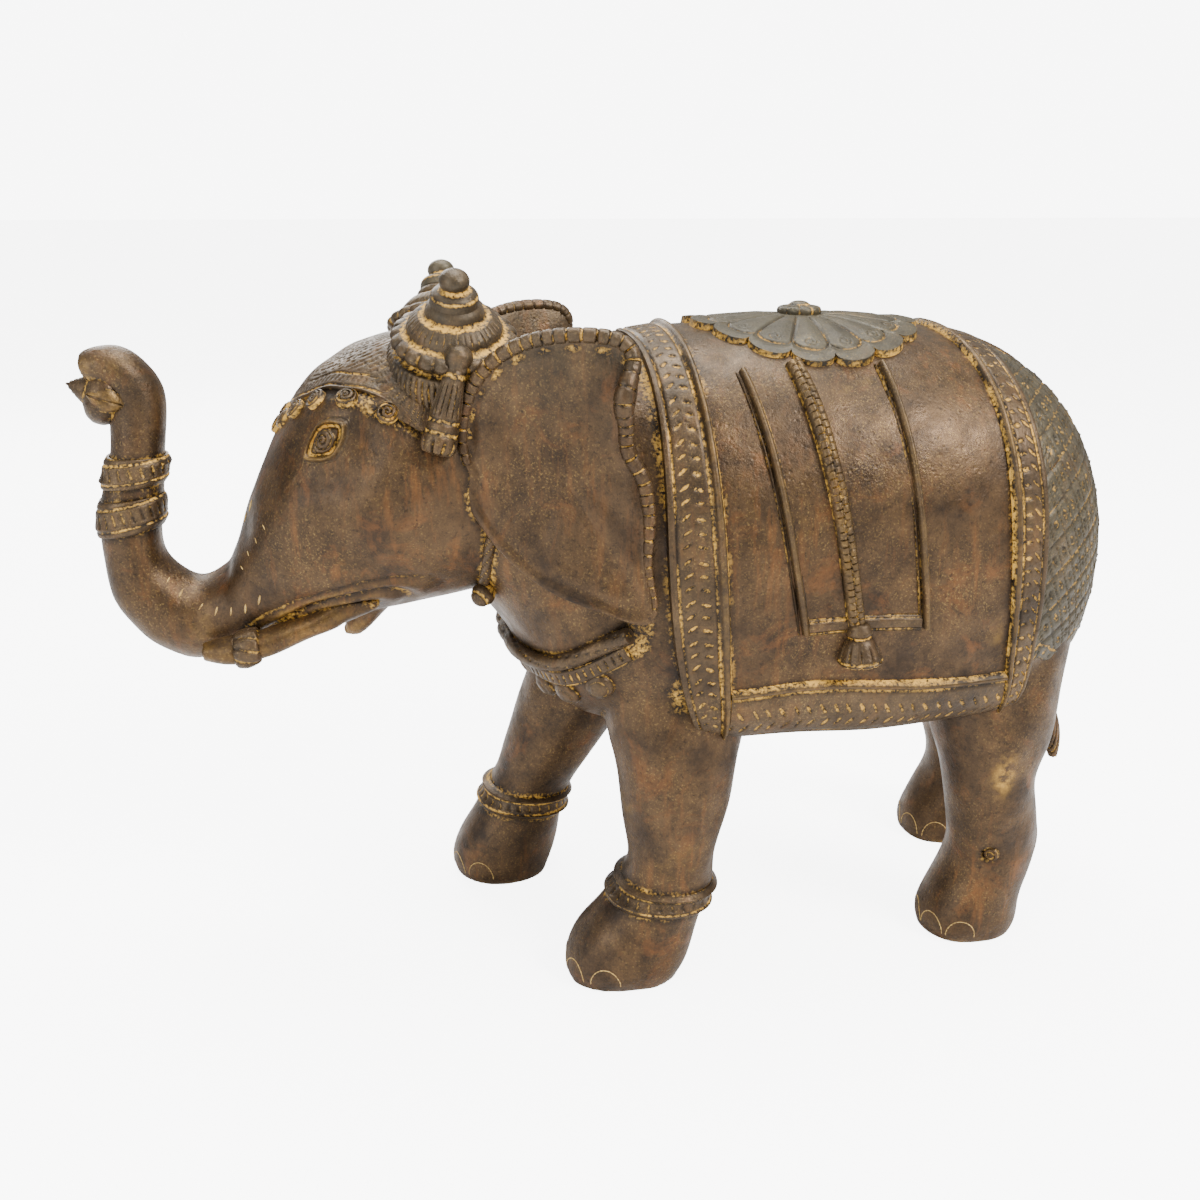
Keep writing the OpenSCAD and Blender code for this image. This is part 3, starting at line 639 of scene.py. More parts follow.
dressNodes += ["browband", "head_cap", "throat_cord", "throat_pendants", "collar_cord", "collar_band",
               "collar_pendants", "saddle_cloth", "trunk_ring_lower", "trunk_ring_upper", "tail", "core_pin",
               "trunk_bud"]


def middleOf(node):
    low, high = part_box(node)
    return np.array((low + high) / 2)


def nodeSpots(node):
    return np.unique(np.round(spotsOf(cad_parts[node].data), 6), axis=0)


# raised or sunk spots on the skin: where, reach along x, y and z, and rise
def skinBumps():
    bumps = []
    for tag, side in bothSides:
        eye = middleOf("eye_" + tag)
        brow, dip = castShape["browRise"], castShape["socketDip"]
        bumps += [(eye + np.array((-4.0, 0, 9.5)) * mm, (9, 9, 5), brow),
                  (eye + np.array((6.0, 0, 9.0)) * mm, (8, 9, 4), brow * 0.6),
                  (eye + np.array((2.0, 0, -7.5)) * mm, (9, 8, 3.2), -dip),
                  (eye + np.array((11.0, 0, 1.0)) * mm, (4, 8, 5), -dip * 0.8),
                  (eye + np.array((-11.0, 0, 0.0)) * mm, (4, 9, 6), -dip * 0.8),
                  (eye + np.array((14.0, 0, -17.0)) * mm, (11, 9, 9), brow * 0.7),
                  (eye + np.array((24.0, 0, 10.0)) * mm, (7, 9, 10), -dip * 0.7)]
        foot = middleOf("leg_rear_" + tag)
        low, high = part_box("leg_rear_" + tag)
        bumps += [(np.array((high.x - 1 * mm, foot[1], 0.34 * high.z)), (7, 9, 7), 1.6 * mm),
                  (np.array((low.x + 8 * mm, foot[1] + side * 12 * mm, 0.42 * high.z)), (9, 9, 9), 0.9 * mm)]
        low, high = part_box("leg_front_" + tag)
        bumps += [(np.array((low.x + 14 * mm, (low.y + high.y) / 2, 0.52 * high.z)), (10, 9, 9), 1.0 * mm)]
    return bumps


# toes stand round the front of each sole
def toeSpots():
    toes = []
    for node in legNodes:
        sole = nodeSpots(node)
        sole = sole[sole[:, 2] < 7 * mm]
        centre = (sole.min(0) + sole.max(0)) / 2
        reach = (sole.max(0) - sole.min(0)) / 2
        outer = -1 if "left" in node else 1
        for turn in (62, 22, -18, -58):
            way = np.array((-math.cos(math.radians(turn)), outer * math.sin(math.radians(turn)), 0))
            toes.append((centre + way * reach, way))
    return toes


def skinRise(spots):
    rise = np.zeros(len(spots))
    for at, reach, high in skinBumps():
        apart = (spots - at) / (np.array(reach) * mm)
        rise += high * np.exp(-(apart ** 2).sum(1))
    for tag, side in bothSides:  # folds of the lip over the root of each tusk
        low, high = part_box("tusk_" + tag)
        root = np.array((high.x - 4 * mm, (low.y + high.y) / 2, high.z - 3 * mm))
        slope = (spots[:, 2] - root[2]) - 0.30 * (spots[:, 0] - root[0])
        apart = np.hypot((spots[:, 0] - root[0] + 6 * mm) * 0.55, slope * 1.5)
        near = fade(spots[:, 1] * side, 2 * mm, 9 * mm) * fade(slope, -5 * mm, 2 * mm)
        for radius, share in ((8 * mm, 1.0), (12.5 * mm, 0.6)):
            rise += castShape["foldRise"] * share * near * hump(apart - radius, 1.5 * mm)
            rise -= castShape["foldRise"] * share * 0.9 * near * hump(apart - radius - 2.5 * mm, 1.2 * mm)
    waves = sum(np.sin(spots @ np.array(way) + shift) for way, shift in castShape["waves"])
    return rise + castShape["unevenness"] * waves / 2


# how much each point lies in a hollow (below zero) or on a ridge (above zero), in metres
def ridgeOf(mesh, spots, ways, rounds=3):
    ends = np.zeros(len(mesh.edges) * 2, np.int32)
    mesh.edges.foreach_get("vertices", ends)
    ends = ends.reshape(-1, 2)
    count = np.bincount(ends.ravel(), minlength=len(spots))[:, None]
    mean = spots.copy()
    for _ in range(rounds):
        total = np.zeros_like(mean)
        np.add.at(total, ends[:, 0], mean[ends[:, 1]])
        np.add.at(total, ends[:, 1], mean[ends[:, 0]])
        mean = total / np.maximum(count, 1)
    return ((spots - mean) * ways).sum(1)


def nearness(spots, nodes, reach):
    points, faces = [], []
    for node in nodes:
        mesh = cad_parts[node].data
        start = len(points)
        points += spotsOf(mesh).tolist()
        faces += [tuple(start + v for v in p.vertices) for p in mesh.polygons]
    tree = BVHTree.FromPolygons(points, faces)
    found = [tree.find_nearest(spot, 6 * reach) for spot in spots.tolist()]
    gaps = np.array([(hit[3] or 0.0) if hit[0] else 1.0 for hit in found])
    return np.exp(-(gaps / reach) ** 1.5)


def makeCast():
    skin = fused("castSkin", castNodes, castShape["grain"], 7)
    spots, ways = spotsOf(skin.data), normalsOf(skin.data)
    spots = spots + ways * castShape["swell"]
    moveTo(skin.data, spots)
    ways = normalsOf(skin.data)
    rise = skinRise(spots)
    spots = spots + ways * rise[:, None]
    flat = fade(spots[:, 2], 1.4 * mm, 0.2 * mm)     # the soles stay flat on the ground
    spots[:, 2] = np.maximum(spots[:, 2] * (1 - flat), 0)
    moveTo(skin.data, spots)
    ways = normalsOf(skin.data)
    ridge = ridgeOf(skin.data, spots, ways)
    # recess mark on the skin: ochre dust and painted shade next to the parts laid on it and in its hollows
    dustAndShade = 0.62 * nearness(spots, dressNodes, 1.3 * mm) + np.clip(-ridge / (0.26 * mm), 0, 1) * 0.55
    worn = np.clip(ridge / (0.30 * mm) - 0.7, 0, 1) * 0.5
    # ochre dust and painted shade next to the cloth's front border
    gap = nearness(spots, ["cloth_border_front"], 3.4 * mm) * fade(spots[:, 2], 92 * mm, 108 * mm)
    for node in ("eye_left", "eye_right"):       # the ochre dust and the painted shade fade out round each eye
        dustAndShade = dustAndShade * fade(np.linalg.norm(spots - middleOf(node), axis=1), 8 * mm, 14 * mm)
    dustAndShade = dustAndShade + 0.5 * gap
    addMark(skin.data, "recess", np.clip(dustAndShade, 0, 1))
    pin = spots - middleOf("core_pin")
    patch = castShape["barePatch"]               # bright metal shows through on the near hind leg
    bare = np.exp(-(pin[:, 0] / patch["long"]) ** 2 - ((pin[:, 2] - patch["height"]) / patch["tall"]) ** 2)
    worn = worn + 1.3 * (bare * (np.abs(pin[:, 1]) < patch["side"]))
    addMark(skin.data, "rub", np.clip(worn, 0, 1))
    return softShade(place(skin, "agedBrass", *castNodes), 70)


castSkin = makeCast()
print("cast skin:", len(castSkin.data.polygons), "faces")


# a chart of the barrel's skin: x along the back, and the distance from the spine round its side

backChart = {"step": 1.0 * mm, "widest": 180 * mm, "turns": 160}


def eased(table):
    for axis in (0, 1, 0, 1):
        ahead = np.roll(table, -1, axis)
        behind = np.roll(table, 1, axis)
        if axis == 0:
            ahead[-1], behind[0] = table[-1], table[0]
        else:
            ahead[:, -1], behind[:, 0] = table[:, -1], table[:, 0]
        table = (ahead + 2 * table + behind) / 4
    return table


def layOutBack():
    guide = fused("barrelGuide", ["torso", "neck", "head"], 2.2 * mm, 5)
    tree = treeOf(guide.data)
    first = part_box("saddle_cloth")[0].x - 14 * mm
    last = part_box("crupper_net")[1].x - 2.2 * mm
    stops = np.arange(first, last, backChart["step"])
    turns = np.radians(np.arange(-backChart["turns"], backChart["turns"] + 1))
    spots = np.zeros((len(stops), len(turns), 3))
    heart = np.zeros(len(stops))
    for i, x in enumerate(stops):
        top = tree.ray_cast(Vector((x, 0, 0.4)), Vector((0, 0, -1)))[0]
        foot = tree.ray_cast(Vector((x, 0, -0.1)), Vector((0, 0, 1)))[0]
        heart[i] = (top.z + foot.z) / 2
        for k, turn in enumerate(turns):
            way = Vector((0, math.sin(turn), math.cos(turn)))
            hit = tree.ray_cast(Vector((x, 0, heart[i])) + way * 0.2, -way)[0]
            spots[i, k] = hit if hit else spots[i, k - 1]
    spots = eased(spots)
    middle = backChart["turns"]
    steps = np.linalg.norm(np.diff(spots, axis=1), axis=2)
    reach = np.concatenate([np.zeros((len(stops), 1)), np.cumsum(steps, axis=1)], axis=1)
    reach = reach - reach[:, middle:middle + 1]
    even = np.arange(-backChart["widest"], backChart["widest"] + mm / 2, backChart["step"])
    table = np.stack([np.stack([np.interp(even, reach[i], spots[i, :, axis]) for axis in range(3)], -1)
                      for i in range(len(stops))])
    table = eased(table)
    ways = np.cross(np.gradient(table, axis=0), np.gradient(table, axis=1))
    ways = eased(unitRows(ways))
    bpy.data.objects.remove(guide)
    backChart.update(first=first, stops=stops, turnsAt=turns, reach=reach, heart=heart, table=table,
                     ways=ways)


def onBack(x, reach, lift):
    row = (np.asarray(x) - backChart["first"]) / backChart["step"]
    column = (np.asarray(reach) + backChart["widest"]) / backChart["step"]
    way = unitRows(lookUp(backChart["ways"], row, column))
    return lookUp(backChart["table"], row, column) + way * np.asarray(lift)[..., None]


# how far round from the spine each packed point lies
def reachOf(spots):
    found = []
    for x, y, z in spots:
        i = round((x - backChart["first"]) / backChart["step"])
        i = int(np.clip(i, 0, len(backChart["stops"]) - 1))
        turn = math.atan2(y, z - backChart["heart"][i])
        found.append(np.interp(turn, backChart["turnsAt"], backChart["reach"][i]))
    return np.array(found)


# the two long edges of a packed band, as x over the distance from the spine
def edgeLines(node, degree=3):
    spots = nodeSpots(node)
    reach = np.abs(reachOf(spots))
    middle = np.polyfit(reach, spots[:, 0], degree)
    ahead = spots[:, 0] < np.polyval(middle, reach)
    return [np.polyfit(reach[pick], spots[pick, 0], degree) for pick in (ahead, ~ahead)]


def lineOfHeight(height, first, last):
    stops = np.linspace(first, last, 40)
    spread = np.arange(0, backChart["widest"], mm)
    found = []
    for x in stops:
        z = onBack(np.full(len(spread), x), spread, np.zeros(len(spread)))[:, 2]
        found.append(spread[np.argmax(z < height)] if (z < height).any() else spread[-1])
    return np.polyfit(stops, found, 4)


# a closed slab: a detailed top over two sides and a plain underside
def slab(name, top, sunk, **marks):
    rows, columns = top.shape[:2]
    grid = np.arange(rows * columns).reshape(rows, columns)
    left = rows * columns + np.arange(rows)
    right = left + rows
    corners = (grid[:-1, :-1], grid[1:, :-1], grid[1:, 1:], grid[:-1, 1:])
    faces = np.stack([corner.ravel() for corner in corners], 1).tolist()
    for i in range(rows - 1):
        faces.append((grid[i, 0], left[i], left[i + 1], grid[i + 1, 0]))
        faces.append((grid[i, -1], grid[i + 1, -1], right[i + 1], right[i]))
        faces.append((left[i], right[i], right[i + 1], left[i + 1]))
    faces.append([int(v) for v in grid[0]] + [int(right[0]), int(left[0])])
    faces.append([int(v) for v in grid[-1][::-1]] + [int(left[-1]), int(right[-1])])
    spots = np.concatenate([top.reshape(-1, 3), sunk[0], sunk[1]])
    full = {label: np.concatenate([values.ravel(), values[:, 0], values[:, -1]])
            for label, values in marks.items()}
    return softShade(outward(newPiece(name, spots, [tuple(int(v) for v in f) for f in faces], **full)))


# how far the cloth's hem stands out sideways
def flareAt(x, reach):
    fromHem = np.polyval(hemLine, x) - np.abs(reach)
    out = clothShape["flare"] * fade(fromHem, clothShape["flareReach"], 0) * np.sign(reach)
    return np.stack([np.zeros_like(out), out, np.zeros_like(out)], -1)


# lays a relief on the back; x and reach are grids, rise and recess too
def laidOn(name, x, reach, rise, recess, rub=None, depth=1.2 * mm, hung=True):
    top = onBack(x, reach, rise)
    sunk = [onBack(x[:, k], reach[:, k], np.full(len(x), -depth)) for k in (0, -1)]
    if hung:
        top = top + flareAt(x, reach)
        sunk = [row + flareAt(x[:, k], reach[:, k]) for k, row in zip((0, -1), sunk)]
    worn = np.zeros_like(recess) if rub is None else rub
    return slab(name, top, sunk, recess=np.clip(recess, 0, 1), rub=np.clip(worn, 0, 1))


# a band along a path on the chart: grids of x, reach, distance along it and distance across it
def bandGrid(path, width, cells):
    path = np.asarray(path)
    way = unitRows(np.gradient(path, axis=0))
    along = lengthsOf(path)
    across = np.linspace(-width / 2, width / 2, cells + 1)
    x = path[:, :1] - way[:, 1:] * across
    reach = path[:, 1:] + way[:, :1] * across
    return x, reach, np.repeat(along[:, None], cells + 1, 1), np.repeat(across[None], len(path), 0)


layOutBack()
clothEdges = {"front": edgeLines("cloth_border_front"), "rear": edgeLines("cloth_border_rear")}
hemLine = lineOfHeight(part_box("saddle_cloth")[0].z + 0.6 * mm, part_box("saddle_cloth")[0].x + 4 * mm,
                       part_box("saddle_cloth")[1].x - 4 * mm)
print("back laid out")


# saddle cloth and its chased borders

clothShape = {
    "lift": 1.4 * mm,
    "borderLift": 2.3 * mm,
    "cutDepth": 0.55 * mm,
    "cutPitch": 3.7 * mm,
    "cutLength": 2.5 * mm,
    "cutWidth": 0.42 * mm,
    "cutSlant": 28,            # degrees
    "cordRise": 1.0 * mm,
    "hemWave": 1.0 * mm,
    "hemDepth": 0.150,         # share of the way from the hem to the spine
    "flare": 6.0 * mm,         # how far the hem stands off the belly
    "flareReach": 30 * mm,
}


def hemReach(x):
    return np.polyval(hemLine, x) + clothShape["hemWave"] * np.sin(x * 95 + 0.6)


# the place on the chart for shares of the cloth's length and of its way round
def clothSpot(along, round):
    x = np.zeros(np.broadcast(along, round).shape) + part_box("rosette_boss")[0].x
    for _ in range(4):
        reach = round * hemReach(x)
        front = np.polyval(clothEdges["front"][0], np.abs(reach))
        rear = np.polyval(clothEdges["rear"][1], np.abs(reach))
        x = front + (rear - front) * along
    return x, reach


def makeClothField():
    along, round = np.meshgrid(np.linspace(0.012, 0.988, 92), np.linspace(-0.985, 0.985, 236))
    x, reach = clothSpot(along, round)
    rise = clothShape["lift"] + 0.16 * mm * (np.sin(x * 210 + reach * 35) + np.sin(reach * 120 - x * 60)
                                             + np.sin(x * 95 + 1.3) * np.sin(reach * 75))
    recess = np.zeros_like(x)
    for line in (clothEdges["front"][1], clothEdges["rear"][0]):   # ochre dust and painted shade along the raised cords
        recess = np.maximum(recess, hump(x - np.polyval(line, np.abs(reach)), 1.3 * mm))
    recess = np.maximum(recess, hump((np.abs(round) - 0.85) * 0.13, 0.6 * mm)) * 0.42
    field = laidOn("saddleCloth", x, reach, rise, recess, depth=0.6 * mm)
    return place(field, "agedBrass", "saddle_cloth")


# the cuts between the border's two lines; out is the distance from the outer edge
def borderRelief(out, along, width):
    cut = clothShape["cutDepth"]
    rise = clothShape["borderLift"] * fade(out, -0.35 * mm, 0.5 * mm)
    share = out / width
    line = hump(out - 2.1 * mm, 0.34 * mm) + hump(width - out - 2.9 * mm, 0.34 * mm)
    slant = math.radians(clothShape["cutSlant"])
    waver = 0.25 * mm * np.sin(along * 610)
    cuts = np.zeros_like(out)
    pitch = clothShape["cutPitch"]
    long = max(clothShape["cutLength"], 0.2 * width)
    for middle, lean, shift in ((0.34, slant, 0.0), (0.59, -slant, 0.35)):
        cuts += chiselRow(out - middle * width, along + waver + shift * pitch, pitch, lean, long,
                          clothShape["cutWidth"])
    cord = np.sqrt(np.clip(1 - ((width - out - 1.15 * mm) / (0.95 * mm)) ** 2, 0, 1))
    trough = hump(width - out - 2.25 * mm, 0.25 * mm) * 0.6
    rise = rise - cut * (0.8 * line + np.clip(cuts, 0, 1) + trough) + clothShape["cordRise"] * cord
    rise -= (clothShape["borderLift"] - clothShape["lift"]) * fade(share, 0.975, 1.0)
    recess = 0.75 * line + 1.15 * np.clip(cuts, 0, 1) + 0.8 * trough + hump(share - 1.0, 0.03)
    return rise, np.clip(recess, 0, 1), cord * 0.12


def makeUprightBorder(name, end, node):
    rows, columns = 620, 33
    round, out = np.meshgrid(np.linspace(-1, 1, rows), np.linspace(0, 1, columns), indexing="ij")
    front, rear = clothEdges[end]
    x, reach = clothSpot(np.full(rows, 0.0 if end == "front" else 1.0), round[:, 0])
    reach = np.repeat(reach[:, None], columns, 1)
    low, high = np.polyval(front, np.abs(reach)), np.polyval(rear, np.abs(reach))
    x = low + (high - low) * out if end == "front" else high + (low - high) * out
    width = float(np.mean(high - low))
    rise, recess, rub = borderRelief(out * width, reach, width)
    fromHem = (1 - np.abs(round)) * np.abs(reach).max()
    close = hump(fromHem - 2.6 * mm, 0.35 * mm)     # the lower margin's line
    rise -= clothShape["cutDepth"] * 0.8 * close * (out < 0.8)
    rise -= clothShape["borderLift"] * 0.7 * fade(fromHem, 0.5 * mm, 0)
    return place(laidOn(name, x, reach, rise, np.maximum(recess, close * 0.8), rub), "chasedBrass", node)


def makeHemBorder(name, side, node):
    rows, columns = 240, 35
    along, out = np.meshgrid(np.linspace(0, 1, rows), np.linspace(0, 1, columns), indexing="ij")
    depth = clothShape["hemDepth"]
    reach = clothSpot(along, side * (1 - depth * out))[1]
    left = np.polyval(clothEdges["front"][1], np.abs(reach))
    right = np.polyval(clothEdges["rear"][0], np.abs(reach))
    x = left + (right - left) * along
    reach = side * (1 - depth * out) * hemReach(x)
    width = depth * float(np.abs(reach).max())
    rise, recess, rub = borderRelief(out * width, x + 1 * mm, width)
    rise = rise + 0.3 * mm * np.sin(x * 130) * fade(out, 0.5, 0)
    return place(laidOn(name, x, reach, rise - 0.05 * mm, recess, rub), "chasedBrass", node)


makeClothField()
makeUprightBorder("clothBorderFront", "front", "cloth_border_front")
makeUprightBorder("clothBorderRear", "rear", "cloth_border_rear")
for tag, side in bothSides:
    makeHemBorder("clothBorder" + tag.capitalize(), side, "cloth_border_" + tag)
print("saddle cloth laid")


# raised ribs and bell ropes on the cloth's sides

ribShape = {
    "width": 3.4 * mm,
    "rise": 1.7 * mm,
    "barWidth": 4.6 * mm,
    "higher": 7.5 * mm,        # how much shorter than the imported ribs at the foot
    "longer": 5.0 * mm,        # and how much further up the back
}
ropeShape = {"width": 4.9 * mm, "rise": 2.5 * mm, "rungPitch": 1.9 * mm}


def makePanelRib(tag, side):
    node = "panel_rib_" + tag
    spots = nodeSpots(node)
    reach = np.abs(reachOf(spots))
    inner, outer = reach.min() + 1 * mm - ribShape["longer"], reach.max() - 1.2 * mm - ribShape["higher"]
    middle = (spots[:, 0].min() + spots[:, 0].max()) / 2
    pieces = []
    legs = []
    for pick in (spots[:, 0] < middle, spots[:, 0] > middle):
        near = pick & (reach < outer - 4 * mm)
        legs.append(np.polyfit(reach[near], spots[near, 0], 2))
    for leg in legs:
        down = np.linspace(inner, outer + 1.6 * mm, 170)
        path = np.stack([np.polyval(leg, down), side * down], 1)
        x, arc, along, across = bandGrid(path, ribShape["width"], 14)
        across = across * side
        ridge = np.sqrt(np.clip(1 - ((across + 0.35 * mm) / (1.05 * mm)) ** 2, 0, 1))
        lip = hump(across - 1.35 * mm, 0.3 * mm)
        groove = hump(across - 0.85 * mm, 0.26 * mm)
        rise = clothShape["lift"] + ribShape["rise"] * ridge + 0.45 * mm * lip - 0.2 * mm * groove
        rise -= 0.1 * mm
        rise += 0.12 * mm * np.sin(along * 330)
        sides = np.maximum(groove, fade(np.abs(across), 1.25 * mm, 1.6 * mm))
        pieces.append(laidOn("panelRibLeg", x, arc, rise, sides * 0.5, ridge * 0.08))
    across = np.linspace(np.polyval(legs[0], outer) + 1.2 * mm, np.polyval(legs[1], outer) - 1.2 * mm, 120)
    path = np.stack([across, np.full(len(across), side * outer)], 1)
    x, arc, along, over = bandGrid(path, ribShape["barWidth"], 18)
    edges = hump(np.abs(over) - 1.55 * mm, 0.34 * mm)
    flat = fade(2.2 * mm - np.abs(over), -0.1 * mm, 0.5 * mm)
    rise = clothShape["lift"] + 0.75 * mm * flat - 0.5 * mm * edges
    recess = 0.75 * edges + 0.6 * hump(np.abs(over) - 2.3 * mm, 0.3 * mm)
    pieces.append(laidOn("panelRibBar", x, arc, rise, recess))
    return place(joined("panelRib" + tag.capitalize(), pieces), "chasedBrass", node)


def joined(name, pieces):
    shape = bmesh.new()
    for piece in pieces:
        shape.from_mesh(piece.data)
    mesh = bpy.data.meshes.new(name)
    shape.to_mesh(mesh)
    shape.free()
    for piece in pieces:
        bpy.data.objects.remove(piece)
    whole = bpy.data.objects.new(name, mesh)
    bpy.context.scene.collection.objects.link(whole)
    return softShade(whole)


def makeBellRope(tag, side):
    node = "bell_cord_" + tag
    spots = nodeSpots(node)
    reach = np.abs(reachOf(spots))
    line = np.polyfit(reach, spots[:, 0], 2)
    down = np.linspace(reach.min() - ribShape["longer"], reach.max() - ribShape["higher"], 300)
    path = np.stack([np.polyval(line, down), side * down], 1)
    x, arc, along, across = bandGrid(path, ropeShape["width"], 20)
    half = ropeShape["width"] / 2
    crown = np.sqrt(np.clip(1 - (across / half) ** 2, 0, 1)) ** 0.7
    shift = np.where(across > 0, 0.5, 0.0)
    rungs = notches(along / ropeShape["rungPitch"] + shift, 0.72, 0.98)
    cut = rungs * (np.abs(across) < 0.80 * half)
    seam = hump(across, 0.32 * mm)
    rail = hump(np.abs(across) - 0.84 * half, 0.22 * mm)
    rise = clothShape["lift"] + ropeShape["rise"] * crown - 0.45 * mm * cut - 0.4 * mm * seam
    rise -= 0.3 * mm * rail
    foot = fade(np.abs(across), 0.93 * half, half)
    recess = 0.42 * cut + 0.40 * seam + 0.3 * rail + 0.7 * foot
    rope = laidOn("bellRope" + tag.capitalize(), x, arc, rise, recess, crown * 0.16)
    return place(rope, "chasedBrass", node)


for tag, side in bothSides:
    makePanelRib(tag, side)
    makeBellRope(tag, side)
print("ribs and bell ropes laid")


# a closed disc: rings of points from the middle out, a foot ring under the last, and its two poles
def disc(name, top, foot, crown, deep, **marks):
    rings, spokes = top.shape[:2]
    grid = np.arange(rings * spokes).reshape(rings, spokes)
    after = np.roll(grid, -1, axis=1)
    corners = (grid[:-1], grid[1:], after[1:], after[:-1])
    faces = np.stack([corner.ravel() for corner in corners], 1).tolist()
    base, peak = rings * spokes, rings * spokes + spokes
    for k in range(spokes):
        n = (k + 1) % spokes
        faces.append((int(grid[-1, k]), base + k, base + n, int(grid[-1, n])))
        faces.append((peak, int(grid[0, k]), int(grid[0, n])))
        faces.append((base + k, peak + 1, base + n))
    spots = np.concatenate([part.reshape(-1, 3) for part in (top, foot, crown, deep)])
    full = {label: np.concatenate([values.ravel(), values[-1], [values[0, 0], 0]])
            for label, values in marks.items()}
    return softShade(outward(newPiece(name, spots, faces, **full)))


# rosette on the back

rosetteShape = {
    "petals": 16,
    "grow": 1.10,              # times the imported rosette's size
    "rings": 84,
    "spokes": 448,
    "lift": 2.3 * mm,
    "step": 1.5 * mm,
    "cut": 0.55 * mm,
    "arc": 0.715,              # shares of the radius
    "curlAt": 0.735,
    "curlRadius": 1.75 * mm,
}


def makeRosette():
    low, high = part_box("saddle_rosette")
    centre = (low.x + high.x) / 2
    radius = (high.x - low.x) / 2 * rosetteShape["grow"]
    sideways = float(np.abs(reachOf(nodeSpots("saddle_rosette"))).max()) * rosetteShape["grow"]
    rings, spokes, petals = rosetteShape["rings"], rosetteShape["spokes"], rosetteShape["petals"]
    turns = np.arange(spokes) * fullTurn / spokes
    share, turn = np.meshgrid(np.linspace(0.02, 1, rings), turns, indexing="ij")
    beat = (turn * petals / fullTurn) % 1 - 0.5            # -0.5 to 0.5 over each petal
    scallop = np.sqrt(np.clip(1 - (2 * beat) ** 2, 0, 1))
    edge = 0.905 + 0.095 * scallop
    reachOut = share * (1 + (edge - 1) * fade(share, 0.45, 1.0))
    x = centre + radius * reachOut * np.cos(turn)
    arc = sideways * reachOut * np.sin(turn)
    petalWidth = fullTurn * radius * reachOut / petals
    seam = hump((0.5 - np.abs(beat)) * petalWidth, 0.42 * mm)
    seam = seam * fade(share, 0.20, 0.26) * fade(share, 0.80, 0.74)
    arch = hump((reachOut - rosetteShape["arc"] - 0.11 * scallop) * radius, 0.42 * mm)
    aside, beyond = beat * petalWidth, (reachOut - rosetteShape["curlAt"]) * radius
    curlAt, curlTurn = np.hypot(aside, beyond), np.arctan2(aside, beyond)
    wind = ((curlAt / mm - 0.45 - 0.16 * (curlTurn + math.pi)) % 1.1) - 0.55
    curl = hump(wind, 0.20) * (curlAt < rosetteShape["curlRadius"])
    hub = hump((share - 0.19) * radius, 0.45 * mm) + hump((share - 0.105) * radius, 0.35 * mm)
    leaf = 0.45 * mm * (0.5 + 0.5 * np.cos(fullTurn * beat))
    leaf = leaf * fade(share, 0.2, 0.4) * fade(share, 0.86, 0.72)
    cuts = np.clip(seam + arch + 0.7 * curl + hub, 0, 1)
    rise = rosetteShape["lift"] + leaf - rosetteShape["cut"] * cuts
    rise = rise + rosetteShape["step"] * 0.5 * fade(share, 0.80, 0.92)
    rise = rise - rosetteShape["step"] * 1.5 * fade(share, 0.975, 1.0)
    recess = np.clip(0.75 * cuts + 0.8 * fade(share, 0.965, 0.99), 0, 1)
    recess = recess * (0.45 + 0.55 * fade(share, 0.45, 0.85))
    top = onBack(x, arc, rise)
    foot = onBack(x[-1], arc[-1], np.full(spokes, 0.4 * mm))
    crown = onBack(np.array([centre]), np.array([0.0]), np.array([rosetteShape["lift"]]))
    deep = onBack(np.array([centre]), np.array([0.0]), np.array([0.4 * mm]))
    rosette = disc("saddleRosette", top, foot, crown, deep, recess=recess)
    return place(rosette, "greenedBrass", "saddle_rosette")


makeRosette()
print("rosette laid")


# crupper net over the rump

netShape = {"lift": 1.0 * mm, "cut": 0.5 * mm, "diamond": 8.6 * mm, "edgeBand": 5.0 * mm}


